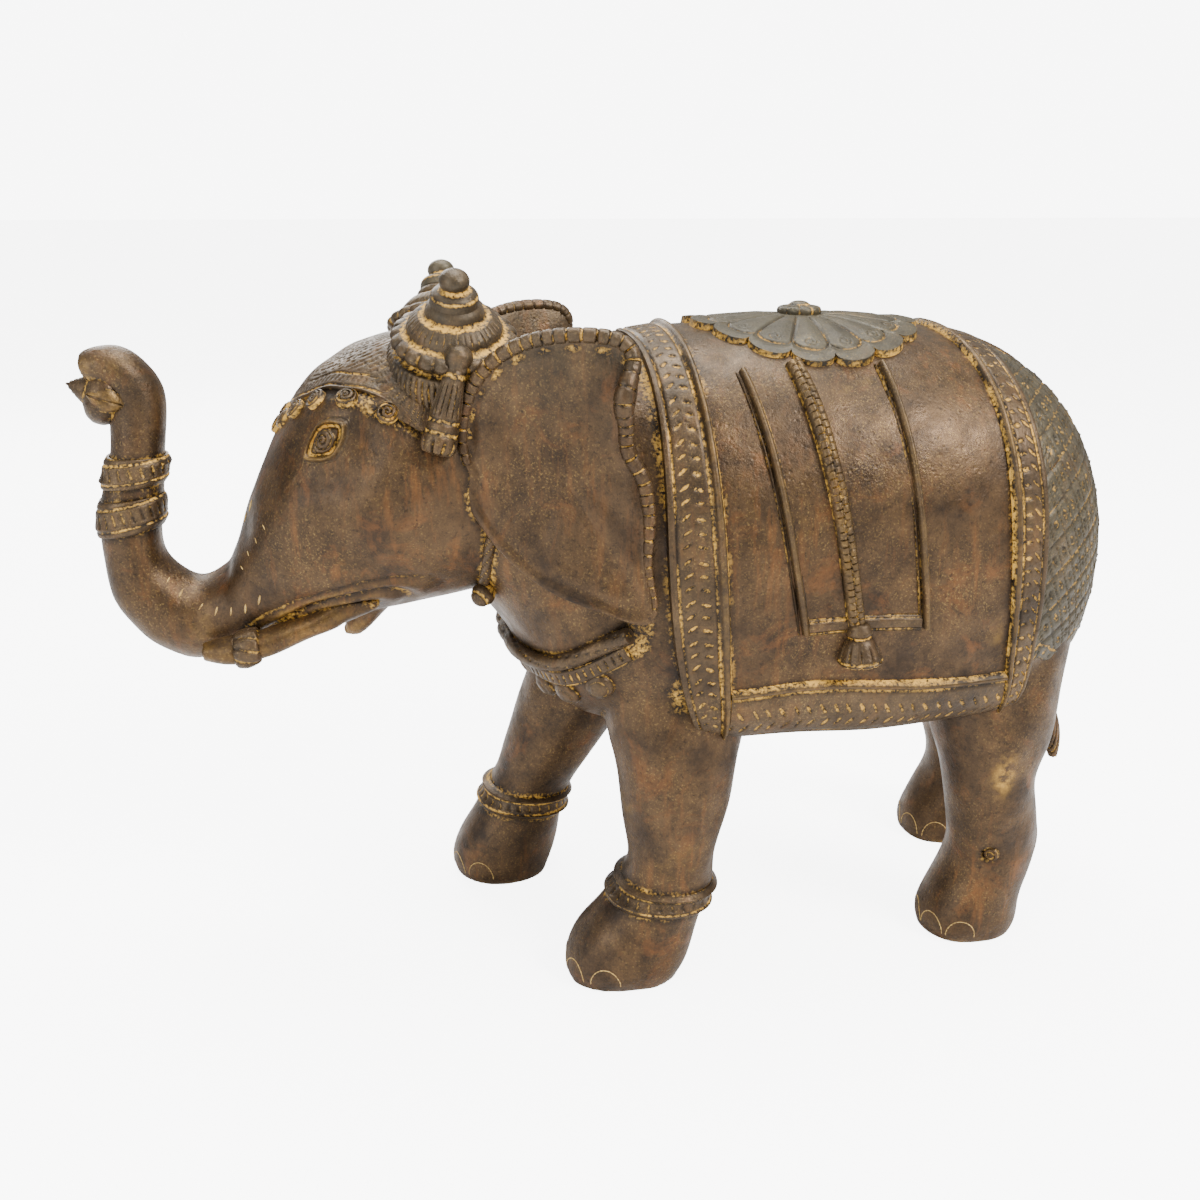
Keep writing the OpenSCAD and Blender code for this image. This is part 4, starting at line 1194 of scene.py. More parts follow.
def makeCrupperNet():
    start = clothEdges["rear"][1]
    last = backChart["stops"][-2]
    probe = np.linspace(np.polyval(start, 0.05), last, 200)
    path = onBack(probe, np.full(200, 0.05), np.zeros(200))
    length = lengthsOf(path)
    rows, columns = 330, 92
    round, share = np.meshgrid(np.linspace(-1, 1, rows), np.linspace(0, 1, columns), indexing="ij")
    evenX = np.interp(share * length[-1], length, probe)
    foot = lineOfHeight(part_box("crupper_net")[0].z + 1 * mm, np.polyval(start, 0.1), last - 3 * mm)
    fit = (evenX - probe[0]) / (last - probe[0])
    x, reach = evenX, round * np.polyval(foot, evenX)
    for _ in range(3):
        begin = np.polyval(start, np.abs(reach)) - 0.3 * mm
        x = begin + (last - begin) * fit
        drop = np.polyval(foot, np.minimum(x, last - 3 * mm))
        reach = round * drop
    alongBack = share * length[-1]
    fromFoot = (1 - np.abs(round)) * drop
    diamond = netShape["diamond"]
    field = fade(fromFoot, netShape["edgeBand"], netShape["edgeBand"] + 0.5 * mm)
    p = (alongBack + np.abs(reach) * 0.9) / diamond
    q = (alongBack - np.abs(reach) * 0.9) / diamond
    lattice = np.maximum(*(hump((line - np.round(line)) * diamond, 0.48 * mm) for line in (p, q)))
    inP, inQ = p - np.floor(p) - 0.5, q - np.floor(q) - 0.5
    apart = np.hypot(inP + inQ, (inP - inQ) / 0.9) * diamond / 2
    punch = hump(apart - 0.85 * mm, 0.34 * mm)
    rim = hump(fromFoot - netShape["edgeBand"], 0.4 * mm) + hump(fromFoot - 0.9 * mm, 0.35 * mm)
    ticks = chiselRow(fromFoot - 2.9 * mm, alongBack, 3.4 * mm, 0.45, 2.6 * mm, 0.4 * mm)
    cuts = np.clip((lattice + punch) * field + rim + ticks * (1 - field), 0, 1)
    knob = 0.35 * mm * hump(apart, 0.7 * mm) * field
    rise = netShape["lift"] + knob - netShape["cut"] * cuts
    rise = rise - netShape["lift"] * 1.4 * fade(fromFoot, 0.5 * mm, 0)
    recess = 0.55 * lattice * field + 0.75 * punch * field + 0.85 * rim + ticks * (1 - field)
    net = laidOn("crupperNet", x, reach, rise, recess, depth=1.0 * mm, hung=False)
    return place(net, "greenedBrass", "crupper_net")


makeCrupperNet()
print("crupper net laid")


# laying things on the cast skin itself

skinTree = treeOf(castSkin.data)


def snapped(spots, rounds=1):
    shape = spots.shape
    found = [skinTree.find_nearest(Vector(spot))[:2] for spot in spots.reshape(-1, 3)]
    near = np.array([f[0] for f in found]).reshape(shape)
    ways = np.array([f[1] for f in found]).reshape(shape)
    if len(shape) == 3:
        for _ in range(rounds):
            near, ways = eased(near), eased(ways)
    return near, unitRows(ways)


def smoothPath(spots, count, rounds=6):
    steps = lengthsOf(spots)
    even = np.linspace(0, steps[-1], count)
    path = np.stack([np.interp(even, steps, spots[:, axis]) for axis in range(3)], 1)
    for _ in range(rounds):
        path[1:-1] = (path[:-2] + 2 * path[1:-1] + path[2:]) / 4
    return path


# the middle line of a packed tube or band that runs from side to side
def crossLine(node, count, bins=22):
    spots = nodeSpots(node)
    edges = np.linspace(spots[:, 1].min() - 1e-6, spots[:, 1].max() + 1e-6, bins + 1)
    picks = [spots[(spots[:, 1] >= a) & (spots[:, 1] < b)] for a, b in zip(edges[:-1], edges[1:])]
    line = np.array([(p.min(0) + p.max(0)) / 2 for p in picks if len(p)])
    return smoothPath(line, count, max(2, count // 12))


def bandOnSkin(path, width, cells):
    centre, ways = snapped(path[:, None])
    centre, ways = centre[:, 0], ways[:, 0]
    tangent = np.gradient(path, axis=0)
    over = np.cross(ways, tangent)
    over = np.stack([np.convolve(np.pad(over[:, axis], 6, mode="edge"), np.ones(13) / 13, "valid")
                     for axis in range(3)], 1)
    over = unitRows(over)
    across = np.linspace(-width / 2, width / 2, cells + 1)
    spots, ways = snapped(centre[:, None] + over[:, None] * across[None, :, None], 4)
    along = lengthsOf(centre)
    return spots, ways, np.repeat(along[:, None], cells + 1, 1), np.repeat(across[None], len(path), 0)


def skinSlab(name, spots, ways, rise, recess, rub=None, depth=1.0 * mm):
    top = spots + ways * rise[..., None]
    sunk = [spots[:, k] - ways[:, k] * depth for k in (0, -1)]
    worn = np.zeros_like(recess) if rub is None else rub
    return slab(name, top, sunk, recess=np.clip(recess, 0, 1), rub=np.clip(worn, 0, 1))


# a round bar along a path; relief gives rise and recess from the turn and the distance along
def rod(name, path, radius, around, relief):
    ahead = unitRows(np.gradient(path, axis=0))
    side = unitRows(np.cross(ahead, (0.1, 0.35, 0.93)))      # any way that no cord here runs along
    up = np.cross(side, ahead)
    along = lengthsOf(path)
    turn = np.arange(around) * fullTurn / around
    turns, lengths = np.meshgrid(turn, along)
    rise, recess = relief(turns, lengths)
    reach = (np.asarray(radius)[..., None] if np.ndim(radius) else radius) + rise
    spots = path[:, None] + reach[..., None] * (side[:, None] * np.cos(turns)[..., None]
                                                + up[:, None] * np.sin(turns)[..., None])
    return disc(name, spots, path[-1] + (spots[-1] - path[-1]) * 0.4, path[0], path[-1], recess=recess)


thinnest = 0.02     # millimetres, the least radius of a turned shape


# a shape turned on an axis; profile holds radius and height in millimetres
def turned(name, at, axis, profile, around, relief, fine=0.42):
    profile = np.array(profile, float)
    steps = lengthsOf(profile)
    even = np.linspace(0, steps[-1], max(int(steps[-1] / fine), 8))
    line = np.stack([np.interp(even, steps, profile[:, k]) for k in (0, 1)], 1)
    for _ in range(2):
        line[1:-1] = (line[:-2] + 2 * line[1:-1] + line[2:]) / 4
    slope = unitRows(np.gradient(line, axis=0))
    axis = np.asarray(axis, float) / np.linalg.norm(axis)
    side = np.cross(axis, (0, 1, 0.2))
    side /= np.linalg.norm(side)
    up = np.cross(axis, side)
    turn, radius = np.meshgrid(np.arange(around) * fullTurn / around, line[:, 0])
    height = np.repeat(line[:, 1:], around, 1)
    rise, recess = relief(turn, radius, height)
    upward = 1 if line[0, 1] < line[-1, 1] else -1     # which way the profile was drawn
    radius = np.maximum(radius + upward * rise * slope[:, 1:], thinnest)
    height = height - upward * rise * slope[:, :1]
    outwards = side * np.cos(turn)[..., None] + up * np.sin(turn)[..., None]
    spots = np.asarray(at) + mm * (radius[..., None] * outwards + height[..., None] * axis)
    first = np.asarray(at) + mm * axis * height[0].mean()
    last = np.asarray(at) + mm * axis * height[-1].mean()
    return disc(name, spots, last + (spots[-1] - last) * 0.5, first, last, recess=recess)


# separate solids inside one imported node, each as its points, from left to right
def solidsIn(node):
    shape = bmesh.new()
    shape.from_mesh(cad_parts[node].data)
    bmesh.ops.remove_doubles(shape, verts=shape.verts, dist=mergeWithin)
    found = [np.array([v.co for v in shell]) for shell in shellsOf(shape)]
    shape.free()
    return sorted(found, key=lambda spots: spots[:, 1].mean())


# Geometry Nodes: one small shape set on many points, each with its own turn and size
def strewnTree(label):
    tree = bpy.data.node_groups.new(label, "GeometryNodeTree")
    takes = (("Points", "Geometry"), ("Shape", "Object"), ("Size", "Float"), ("Finish", "Material"))
    for name, kind in takes:
        tree.interface.new_socket(name=name, in_out="INPUT", socket_type="NodeSocket" + kind)
    tree.interface.new_socket(name="Pieces", in_out="OUTPUT", socket_type="NodeSocketGeometry")
    take, give = tree.nodes.new("NodeGroupInput"), tree.nodes.new("NodeGroupOutput")
    shape = tree.nodes.new("GeometryNodeObjectInfo")
    setOn = tree.nodes.new("GeometryNodeInstanceOnPoints")
    turn = addNode(tree, "GeometryNodeInputNamedAttribute", data_type="FLOAT_VECTOR")
    turn.inputs["Name"].default_value = "turn"
    size = addNode(tree, "GeometryNodeInputNamedAttribute", data_type="FLOAT")
    size.inputs["Name"].default_value = "size"
    scale = tree.nodes.new("ShaderNodeMath")
    scale.operation = "MULTIPLY"
    real = tree.nodes.new("GeometryNodeRealizeInstances")
    coat = tree.nodes.new("GeometryNodeSetMaterial")
    for source, output, target, entry in (
            (take, "Points", setOn, "Points"), (take, "Shape", shape, "Object"),
            (shape, "Geometry", setOn, "Instance"), (turn, "Attribute", setOn, "Rotation"),
            (size, "Attribute", scale, 0), (take, "Size", scale, 1), (scale, 0, setOn, "Scale"),
            (setOn, "Instances", real, "Geometry"), (real, "Geometry", coat, "Geometry"),
            (take, "Finish", coat, "Material"), (coat, "Geometry", give, "Pieces")):
        tree.links.new(source.outputs[output], target.inputs[entry])
    return tree


strewnNodes = strewnTree("strewnPieces")


def strewn(name, shape, spots, outs, alongs, sizes, finish, scale=1.0):
    points = newPiece(name, spots, [])
    turns = []
    for out, along in zip(outs, alongs):
        z = Vector(out).normalized()
        x = (Vector(along) - z * Vector(along).dot(z)).normalized()
        turns.append(Matrix((x, z.cross(x), z)).transposed().to_euler())
    layer = points.data.attributes.new("turn", "FLOAT_VECTOR", "POINT")
    layer.data.foreach_set("vector", np.array([tuple(t) for t in turns], np.float32).ravel())
    addMark(points.data, "size", sizes)
    work = points.modifiers.new("strewn", "NODES")
    work.node_group = strewnNodes
    sockets = {item.name: item.identifier for item in strewnNodes.interface.items_tree}
    work[sockets["Shape"]] = shape
    work[sockets["Size"]] = scale
    work[sockets["Finish"]] = finishes[finish]
    baked(points)
    bpy.data.objects.remove(shape)
    return softShade(points)


# small shapes that get strewn, each about the origin with +Z outwards

def spiralStud(radius, height):
    share, turn = np.meshgrid(np.linspace(0.06, 1, 15), np.arange(30) * math.pi / 15, indexing="ij")
    wind = ((share * 2.6 - turn / fullTurn) % 1) - 0.5
    groove = fade(np.abs(wind), 0.26, 0.46) * fade(share, 0.9, 0.72)
    rise = height * np.sqrt(np.clip(1 - (share * 0.92) ** 4, 0, 1)) - 0.30 * height * groove
    rise -= 0.25 * height * hump(share - 0.76, 0.06)
    top = np.stack([radius * share * np.cos(turn), radius * share * np.sin(turn), rise], -1)
    foot = top[-1] * (1.04, 1.04, 0) - (0, 0, 0.9 * mm)
    return disc("spiralStud", top, foot, np.array([0, 0, rise[0].mean()]), np.array([0, 0, -0.9 * mm]),
                recess=np.clip(groove + hump(share - 0.76, 0.07) + fade(share, 0.93, 1.0), 0, 1))


def cutSliver():
    along, across = np.meshgrid(np.linspace(-1, 1, 9), np.linspace(-1, 1, 5), indexing="ij")
    width = 0.30 * np.sqrt(np.clip(1.02 - along ** 2, 0, 1)) * mm
    top = np.stack([along * mm, across * width, (0.16 - 0.30 * across ** 2 - 0.1 * along ** 2) * mm], -1)
    sunk = [top[:, k] * (1, 1, 0) - (0, 0, 0.6 * mm) for k in (0, -1)]
    return slab("cutSliver", top, sunk, recess=np.ones_like(along))


# eyes

eyeShape = {
    "shift": (0, 0, 1.8 * mm),
    "length": 14.2 * mm,
    "height": 9.8 * mm,
    "tilt": 38,                # degrees
    "corner": 1.45,            # two for an oval, nearer one for sharper corners
    "irisRadius": 3.0 * mm,
    "ballRise": 2.1 * mm,
    "rimRise": 1.5 * mm,
}


def makeEye(tag, side):
    centre = middleOf("eye_" + tag) + np.array(eyeShape["shift"])
    out = np.array((-0.35, side * 0.93, 0.08))
    out /= np.linalg.norm(out)
    level = np.cross((0, 0, 1), out) * -side
    level /= np.linalg.norm(level)
    rear = level if level[0] > 0 else -level
    up = np.cross(rear, out) * (1 if np.cross(rear, out)[2] > 0 else -1)
    tilt = math.radians(eyeShape["tilt"])
    long = rear * math.cos(tilt) + up * math.sin(tilt)
    tall = up * math.cos(tilt) - rear * math.sin(tilt)
    share, turn = np.meshgrid(np.linspace(0.03, 1.3, 44), np.arange(120) * math.pi / 60, indexing="ij")
    point = eyeShape["corner"]
    reach = (np.abs(np.cos(turn) / (eyeShape["length"] / 2)) ** point
             + np.abs(np.sin(turn) / (eyeShape["height"] / 2)) ** point) ** (-1 / point)
    a, b = share * reach * np.cos(turn), share * reach * np.sin(turn)
    spots, ways = snapped(centre + long * a[..., None] + tall * b[..., None], 0)
    ways = ways * 0.4 + out * 0.6
    ball = share / 0.68
    iris = np.hypot(a, b) / eyeShape["irisRadius"]
    wind = ((iris * 2.3 - turn / fullTurn) % 1) - 0.5
    groove = fade(np.abs(wind), 0.24, 0.44) * fade(iris, 1.0, 0.85)
    rise = eyeShape["ballRise"] * np.sqrt(np.clip(1 - ball ** 2, 0, 1)) * 0.75
    rise += 0.35 * mm * fade(iris, 1.12, 0.98) - 0.40 * mm * groove
    rise += eyeShape["rimRise"] * hump(share - 0.93, 0.12) + 0.2 * mm
    rise -= 1.1 * mm * fade(share, 1.16, 1.3)
    trough = hump(share - 0.74, 0.07)
    rings = hump(iris - 1.12, 0.1) * 0.4 + hump(share - 1.14, 0.06) * 0.3
    recess = np.clip(trough * 1.4 + groove * 0.5 + rings, 0, 1)
    rub = hump(share - 0.92, 0.08) * 0.35
    foot = spots[-1] - out * 1.2 * mm
    eye = disc("eye" + tag.capitalize(), spots + ways * rise[..., None], foot,
               spots[0].mean(0) + out * rise[0].mean(), centre - out * 2.5 * mm, recess=recess, rub=rub)
    return place(eye, "chasedBrass", "eye_" + tag)


# headband with its spiral studs, and the combed cap of hair behind it

bandShape = {"width": 7.0 * mm, "rise": 1.0 * mm, "studRadius": 2.8 * mm, "studHeight": 1.7 * mm,
             "setBack": (5.0 * mm, 0, 4.5 * mm)}
capShape = {"strandPitch": 1.35 * mm, "strandDepth": 0.34 * mm}


def makeHeadband():
    path = crossLine("browband", 240) + np.array(bandShape["setBack"])
    spots, ways, along, across = bandOnSkin(path, bandShape["width"], 26)
    lines = hump(np.abs(across) - 2.0 * mm, 0.34 * mm)
    hatch = chiselRow(across, along, 1.6 * mm, 0.25, 3.0 * mm, 0.22 * mm)
    edge = fade(bandShape["width"] / 2 - np.abs(across), 0, 0.5 * mm)
    rise = bandShape["rise"] * edge - 0.45 * mm * lines - 0.22 * mm * hatch
    band = skinSlab("browBand", spots, ways, rise, lines + 0.35 * hatch + (1 - edge) * 0.7)
    place(band, "chasedBrass", "browband")
    studs = solidsIn("brow_studs")
    middles = np.array([[s.mean(0) for s in studs]]) + 0.62 * np.array(bandShape["setBack"])
    places, outs = snapped(middles, 0)
    stud = spiralStud(bandShape["studRadius"], bandShape["studHeight"])
    made = strewn("browStuds", stud, places[0], outs[0], [(1, 0, 0.2)] * len(studs),
                  np.ones(len(studs)), "chasedBrass")
    return place(made, "chasedBrass", "brow_studs")


def makeHeadCap():
    cap = cadCopy("headCap", ["head_cap"], levels=4, hardest=35)
    spots = spotsOf(cap.data)
    points, outs = snapped(spots[:, None], 0)       # its lower edge goes back up the brow with the band
    lift = ((spots - points[:, 0]) * outs[:, 0]).sum(1)
    back = fade(spots[:, 0] - spots[:, 0].min(), 30 * mm, 4 * mm)
    points, outs = snapped((points[:, 0] + back[:, None] * np.array(bandShape["setBack"]))[:, None], 0)
    moveTo(cap.data, points[:, 0] + outs[:, 0] * lift[:, None])
    spots, ways = spotsOf(cap.data), normalsOf(cap.data)
    lean = np.sign(spots[:, 1]) * 0.55
    comb = spots[:, 1] * (1 + 0.3 * np.sin(spots[:, 0] * 130)) + lean * spots[:, 0]
    strands = comb / capShape["strandPitch"]
    breakUp = 0.5 + 0.5 * np.sin(spots[:, 0] * 900 + np.floor(strands) * 2.4)
    cut = notches(strands, 0.55, 0.95) * fade(breakUp, 0.1, 0.35)
    rise = -capShape["strandDepth"] * cut
    moveTo(cap.data, spots + ways * rise[:, None])
    addMark(cap.data, "recess", cut * 0.42)
    return place(softShade(cap), "chasedBrass", "head_cap")


# brow domes, their finials and the drops in front of the ears

domeShape = {
    "around": 300,
    # radius and height over the dome's foot, in shares of the flange radius
    "profile": [(0.02, 1.20), (0.28, 1.16), (0.48, 0.99), (0.52, 0.86), (0.62, 0.84), (0.80, 0.66),
                (0.83, 0.55), (0.92, 0.53), (1.04, 0.36), (0.98, 0.20), (1.12, 0.15), (1.24, -0.06),
                (1.28, -0.30), (1.20, -0.52)],
    "beads": 22,
    "lean": 25,                # degrees outwards
    "hatches": 62,
    "flutes": 40,
}
# profiles from here on hold radius and height in millimetres
knobShape = {"profile": [(0.05, 6.2), (1.8, 5.9), (3.2, 5.0), (3.9, 3.6), (3.7, 2.3), (3.2, 1.6), (4.7, 1.0),
                         (6.0, -0.4), (6.2, -2.5)],
             "sink": 3.5 * mm}


def makeDome(tag, side):
    node = "brow_dome_" + tag
    tip = middleOf("dome_finial_" + tag)
    spots = nodeSpots(node)
    tilt = math.radians(domeShape["lean"])
    lean = np.array((0, side * math.sin(tilt), math.cos(tilt)))
    apart = spots - tip
    height = apart @ lean
    radial = np.linalg.norm(apart - height[:, None] * lean, axis=1)
    flange = radial.max() / mm
    foot = tip + lean * (height[radial > radial.max() * 0.985].mean() - 1.5 * mm)

    def relief(turn, radius, height):
        share = height / flange
        outer = radius / flange
        beat = (turn * domeShape["beads"] / fullTurn) % 1 - 0.5
        onBeads = hump(share - 0.36, 0.11) * fade(outer, 0.90, 0.97)
        bead = np.sqrt(np.clip(1 - (2 * beat) ** 2, 0, 1))
        onHatch = fade(share, 0.16, 0.09) * fade(share, -0.44, -0.30)
        hatch = notches(turn * domeShape["hatches"] / fullTurn + share * 1.5, 0.55, 0.95) * onHatch
        tiers = sum(hump(share - at, 0.035) for at in (0.19, 0.53, 0.85))
        flutes = notches(turn * domeShape["flutes"] / fullTurn, 0.7, 1.0) * hump(share - 0.70, 0.09)
        rise = 1.25 * onBeads * bead - 0.5 * hatch - 0.45 * tiers - 0.25 * flutes
        recess = 0.9 * tiers + 0.55 * hatch + onBeads * (1 - bead) * 0.9 + 0.5 * flutes
        return rise, np.clip(recess, 0, 1)

    profile = [(r * flange, h * flange) for r, h in domeShape["profile"]]
    dome = turned("browDome" + tag.capitalize(), foot, lean, profile, domeShape["around"], relief)
    place(dome, "chasedBrass", node)
    base = tip - lean * knobShape["sink"]

    def knobRelief(turn, radius, height):
        rings = hump(height - 1.5, 0.4) + hump(height + 0.4, 0.4)
        return -0.25 * hump(height - 1.2, 0.5), np.clip(rings, 0, 1)

    knob = turned("domeFinial" + tag.capitalize(), base, lean, knobShape["profile"], 48, knobRelief)
    return place(knob, "greenedBrass" if tag == "right" else "chasedBrass", "dome_finial_" + tag)


dropShape = {
    "head": [(0.05, -3.0), (1.8, -2.7), (3.1, -1.6), (3.7, 0.0), (3.2, 1.8), (2.3, 3.2), (2.7, 4.2),
             (3.1, 8.0), (3.9, 14.0)],
    # radius, and height in shares of the drop's length
    "foot": [(4.3, 0.80), (4.6, 0.9), (3.9, 0.98), (1.5, 1.0), (0.05, 1.0)],
    "ribs": 15,
    "toes": 9,
}


def makeEarDrop(tag):
    node = "ear_drop_" + tag
    spots = nodeSpots(node)
    top = spots[spots[:, 2] > spots[:, 2].max() - 5 * mm].mean(0)
    foot = spots[spots[:, 2] < spots[:, 2].min() + 4 * mm].mean(0)
    way = (foot - top) / np.linalg.norm(foot - top)
    length = np.linalg.norm(spots @ way - (top @ way), ord=np.inf) / mm

    def relief(turn, radius, height):
        share = height / length
        grooves = hump(share - 0.66, 0.022) + hump(share - 0.78, 0.022)
        shaft = fade(share, 0.24, 0.32) * fade(share, 0.64, 0.58)
        long = notches(turn * dropShape["ribs"] / fullTurn, 0.7, 1.0) * shaft
        toes = notches(turn * dropShape["toes"] / fullTurn, 0.55, 1.0) * fade(share, 0.82, 0.88)
        rise = -0.35 * grooves - 0.25 * long - 0.6 * toes
        return rise, np.clip(grooves + 0.6 * long + 0.9 * toes + hump(share - 0.2, 0.03), 0, 1)

    foot = [(radius, length * share) for radius, share in dropShape["foot"]]
    profile = dropShape["head"] + foot
    drop = turned("earDrop" + tag.capitalize(), top + way * 1.0 * mm, way, profile, 90, relief, 0.3)
    return place(drop, "chasedBrass", node)


# ears: a dished plate inside a thick notched rim

earShape = {
    "rimRadius": 1.9 * mm,
    "rimFrom": 172,            # degrees round the ear's middle, anticlockwise from the rear
    "rimTo": -58,
    "foldAt": 0.565,           # share of the rim's length where its corner is turned over
    "foldAhead": 3.6 * mm,
    "foldOut": 3.2 * mm,
    "cornerAt": 63,            # degrees, the upper rear corner
    "cornerPush": 1.8 * mm,
    "hollowAt": 33,            # degrees, where the rear edge draws in under the corner
    "hollowPull": 4.2 * mm,
    "notchPitch": 3.1 * mm,
    "notchDepth": 0.7 * mm,
    "ripple": 0.35 * mm,
}


def makeEar(tag, side):
    plate = cadCopy("earPlate" + tag.capitalize(), ["ear_" + tag], levels=3)
    spots, ways = spotsOf(plate.data), normalsOf(plate.data)
    middle = (spots.min(0) + spots.max(0)) / 2
    turn = np.arctan2(spots[:, 2] - middle[2], spots[:, 0] - middle[0])
    reach = np.hypot(spots[:, 2] - middle[2], spots[:, 0] - middle[0])
    stops = np.radians(np.arange(-180, 180, 3))
    full, deep = [], []
    for stop in stops:
        near = np.where(np.abs((turn - stop + math.pi) % (fullTurn) - math.pi) < math.radians(2.5))[0]
        far = near[reach[near] > reach[near].max() * 0.985]
        full.append(reach[far].max())
        deep.append(spots[far, 1].mean())
    share = reach / np.interp(turn, stops, full, period=fullTurn)
    corner = earShape["cornerPush"] * hump(np.degrees(stops) - earShape["cornerAt"], 11)
    corner -= earShape["hollowPull"] * hump(np.degrees(stops) - earShape["hollowAt"], 20)
    grow = np.interp(turn, stops, corner, period=fullTurn) * fade(share, 0.6, 1.0)
    spots[:, 0] += grow * np.cos(turn)
    spots[:, 2] += grow * np.sin(turn)
    full = np.array(full) + corner
    ripple = np.sin(turn * 9 + share * 5) * fade(share, 0.2, 0.6)
    ripple = ripple + 0.6 * np.sin(spots[:, 2] * 160 + spots[:, 0] * 90)
    front = ways[:, 1] * side > 0.2
    dish = -0.6 * mm * hump(share - 0.87, 0.06) * front
    rise = earShape["ripple"] * 0.5 * ripple * fade(share, 1.0, 0.85) + dish
    moveTo(plate.data, spots + ways * rise[:, None])
    overTop = fade(spots[:, 2], middle[2] - 4 * mm, middle[2] + 12 * mm)
    # recess mark just inside the rim over the top of the ear: ochre dust and painted shade under the curled
    # rim
    dust = hump(share - 0.885, 0.03) * front * overTop * (0.45 + 0.35 * np.sin(turn * 31))
    addMark(plate.data, "recess", np.clip(dust, 0, 1))
    softShade(plate)
    # rim from the root at the front, over the top and down the rear edge to the tip
    turns = np.radians(np.linspace(earShape["rimFrom"], earShape["rimTo"], 90))
    reaches = np.interp(turns, stops, full, period=fullTurn) - 0.6 * earShape["rimRadius"]
    line = np.stack([middle[0] + reaches * np.cos(turns), np.interp(turns, stops, deep, period=fullTurn),
                     middle[2] + reaches * np.sin(turns)], 1)
    line = smoothPath(line, 520, 60)
    fromStart = np.linspace(0, 1, len(line))
    thick = earShape["rimRadius"] * (0.55 + 0.45 * fade(fromStart, 0, 0.08))
    thick = thick * (0.45 + 0.55 * fade(fromStart, 0.98, 0.72))
    fold = hump(fromStart - earShape["foldAt"], 0.05)
    thick = thick * (1 + 0.35 * fold)
    line[:, 0] -= earShape["foldAhead"] * fold
    line[:, 1] += side * earShape["foldOut"] * fold

    def relief(turns, lengths):
        facing = fade(np.cos(turns + (0.6 if side < 0 else math.pi - 0.6)), -0.2, 0.5)
        cut = notches(lengths / earShape["notchPitch"] + 0.2 * np.sin(lengths * 300), 0.76, 0.95)
        return -earShape["notchDepth"] * cut * (0.4 + 0.6 * facing), cut * (0.5 + 0.6 * facing)

    edge = rod("earRim", line, thick, 22, relief)
    ear = joined("ear" + tag.capitalize(), [plate, edge])
    return place(ear, "agedBrass", "ear_" + tag)


for tag, side in bothSides:
    makeEye(tag, side)
    makeDome(tag, side)
    makeEarDrop(tag)
    makeEar(tag, side)
makeHeadband()
makeHeadCap()
print("head dressed")


# trunk: two ringed bands, the fruit it holds and the chased cuts

ringShape = {"tickDepth": 0.32 * mm, "lines": (0.22, 0.78), "tickBand": (0.3, 0.7)}
ankletShape = {"lines": (0.30, 0.70), "tickBand": (0.36, 0.64), "tickPitch": 3.2 * mm}


# a rounded copy of a packed ring, cut by lines round it and ticks across it
def makeChasedRing(name, node, cuts, tickBand, tickPitch):
    ring = cadCopy(name, [node], levels=3, hardest=38)
    spots, ways = spotsOf(ring.data), normalsOf(ring.data)
    middle = (spots.min(0) + spots.max(0)) / 2
    axis = np.linalg.svd(nodeSpots(node) - nodeSpots(node).mean(0), full_matrices=False)[2][2]
    if axis[2] < 0:
        axis = -axis
    apart = spots - middle
    height = apart @ axis
    share = (height - height.min()) / (height.max() - height.min())
    side = np.cross(axis, (0, 1, 0))
    side /= np.linalg.norm(side)
    up = np.cross(axis, side)
    flat = np.stack([apart @ side, apart @ up], 1)
    turn = np.arctan2(flat[:, 1], flat[:, 0])
    radius = np.linalg.norm(flat, axis=1).mean()
    ticks = max(int(fullTurn * radius / tickPitch), 6)
    outward = fade((ways * (apart - height[:, None] * axis)).sum(1) / radius, -0.2, 0.4)
    low, high = tickBand
    tick = notches(turn * ticks / fullTurn + share * 0.4, 0.62, 0.95)
    tick = tick * fade(share, low, low + 0.06) * fade(share, high, high - 0.06)
    lines = sum(hump(share - at, 0.045) for at in cuts)
    cut = np.clip(tick + lines, 0, 1) * outward
    moveTo(ring.data, spots - ways * (ringShape["tickDepth"] * cut)[:, None])
    ends = hump(share, 0.07) + hump(share - 1, 0.07)
    addMark(ring.data, "recess", np.clip(lines * 0.95 + tick * 0.65 + ends * 0.6, 0, 1) * outward)
    return place(softShade(ring, 60), "chasedBrass", node)


fruitShape = {
    "profile": [(0.05, 9.4), (0.9, 8.5), (1.7, 7.5), (2.5, 6.3), (3.2, 5.3), (3.7, 4.3), (4.7, 3.7),
                (6.6, 2.6), (7.8, 0.6), (7.8, -1.8), (6.6, -4.2), (4.2, -5.8), (0.05, -6.4)],
    "tipAhead": 9.2 * mm,
    "drop": 1.6 * mm,
    "leafHalf": 5.0 * mm,
    "leafWidth": 3.1 * mm,
}


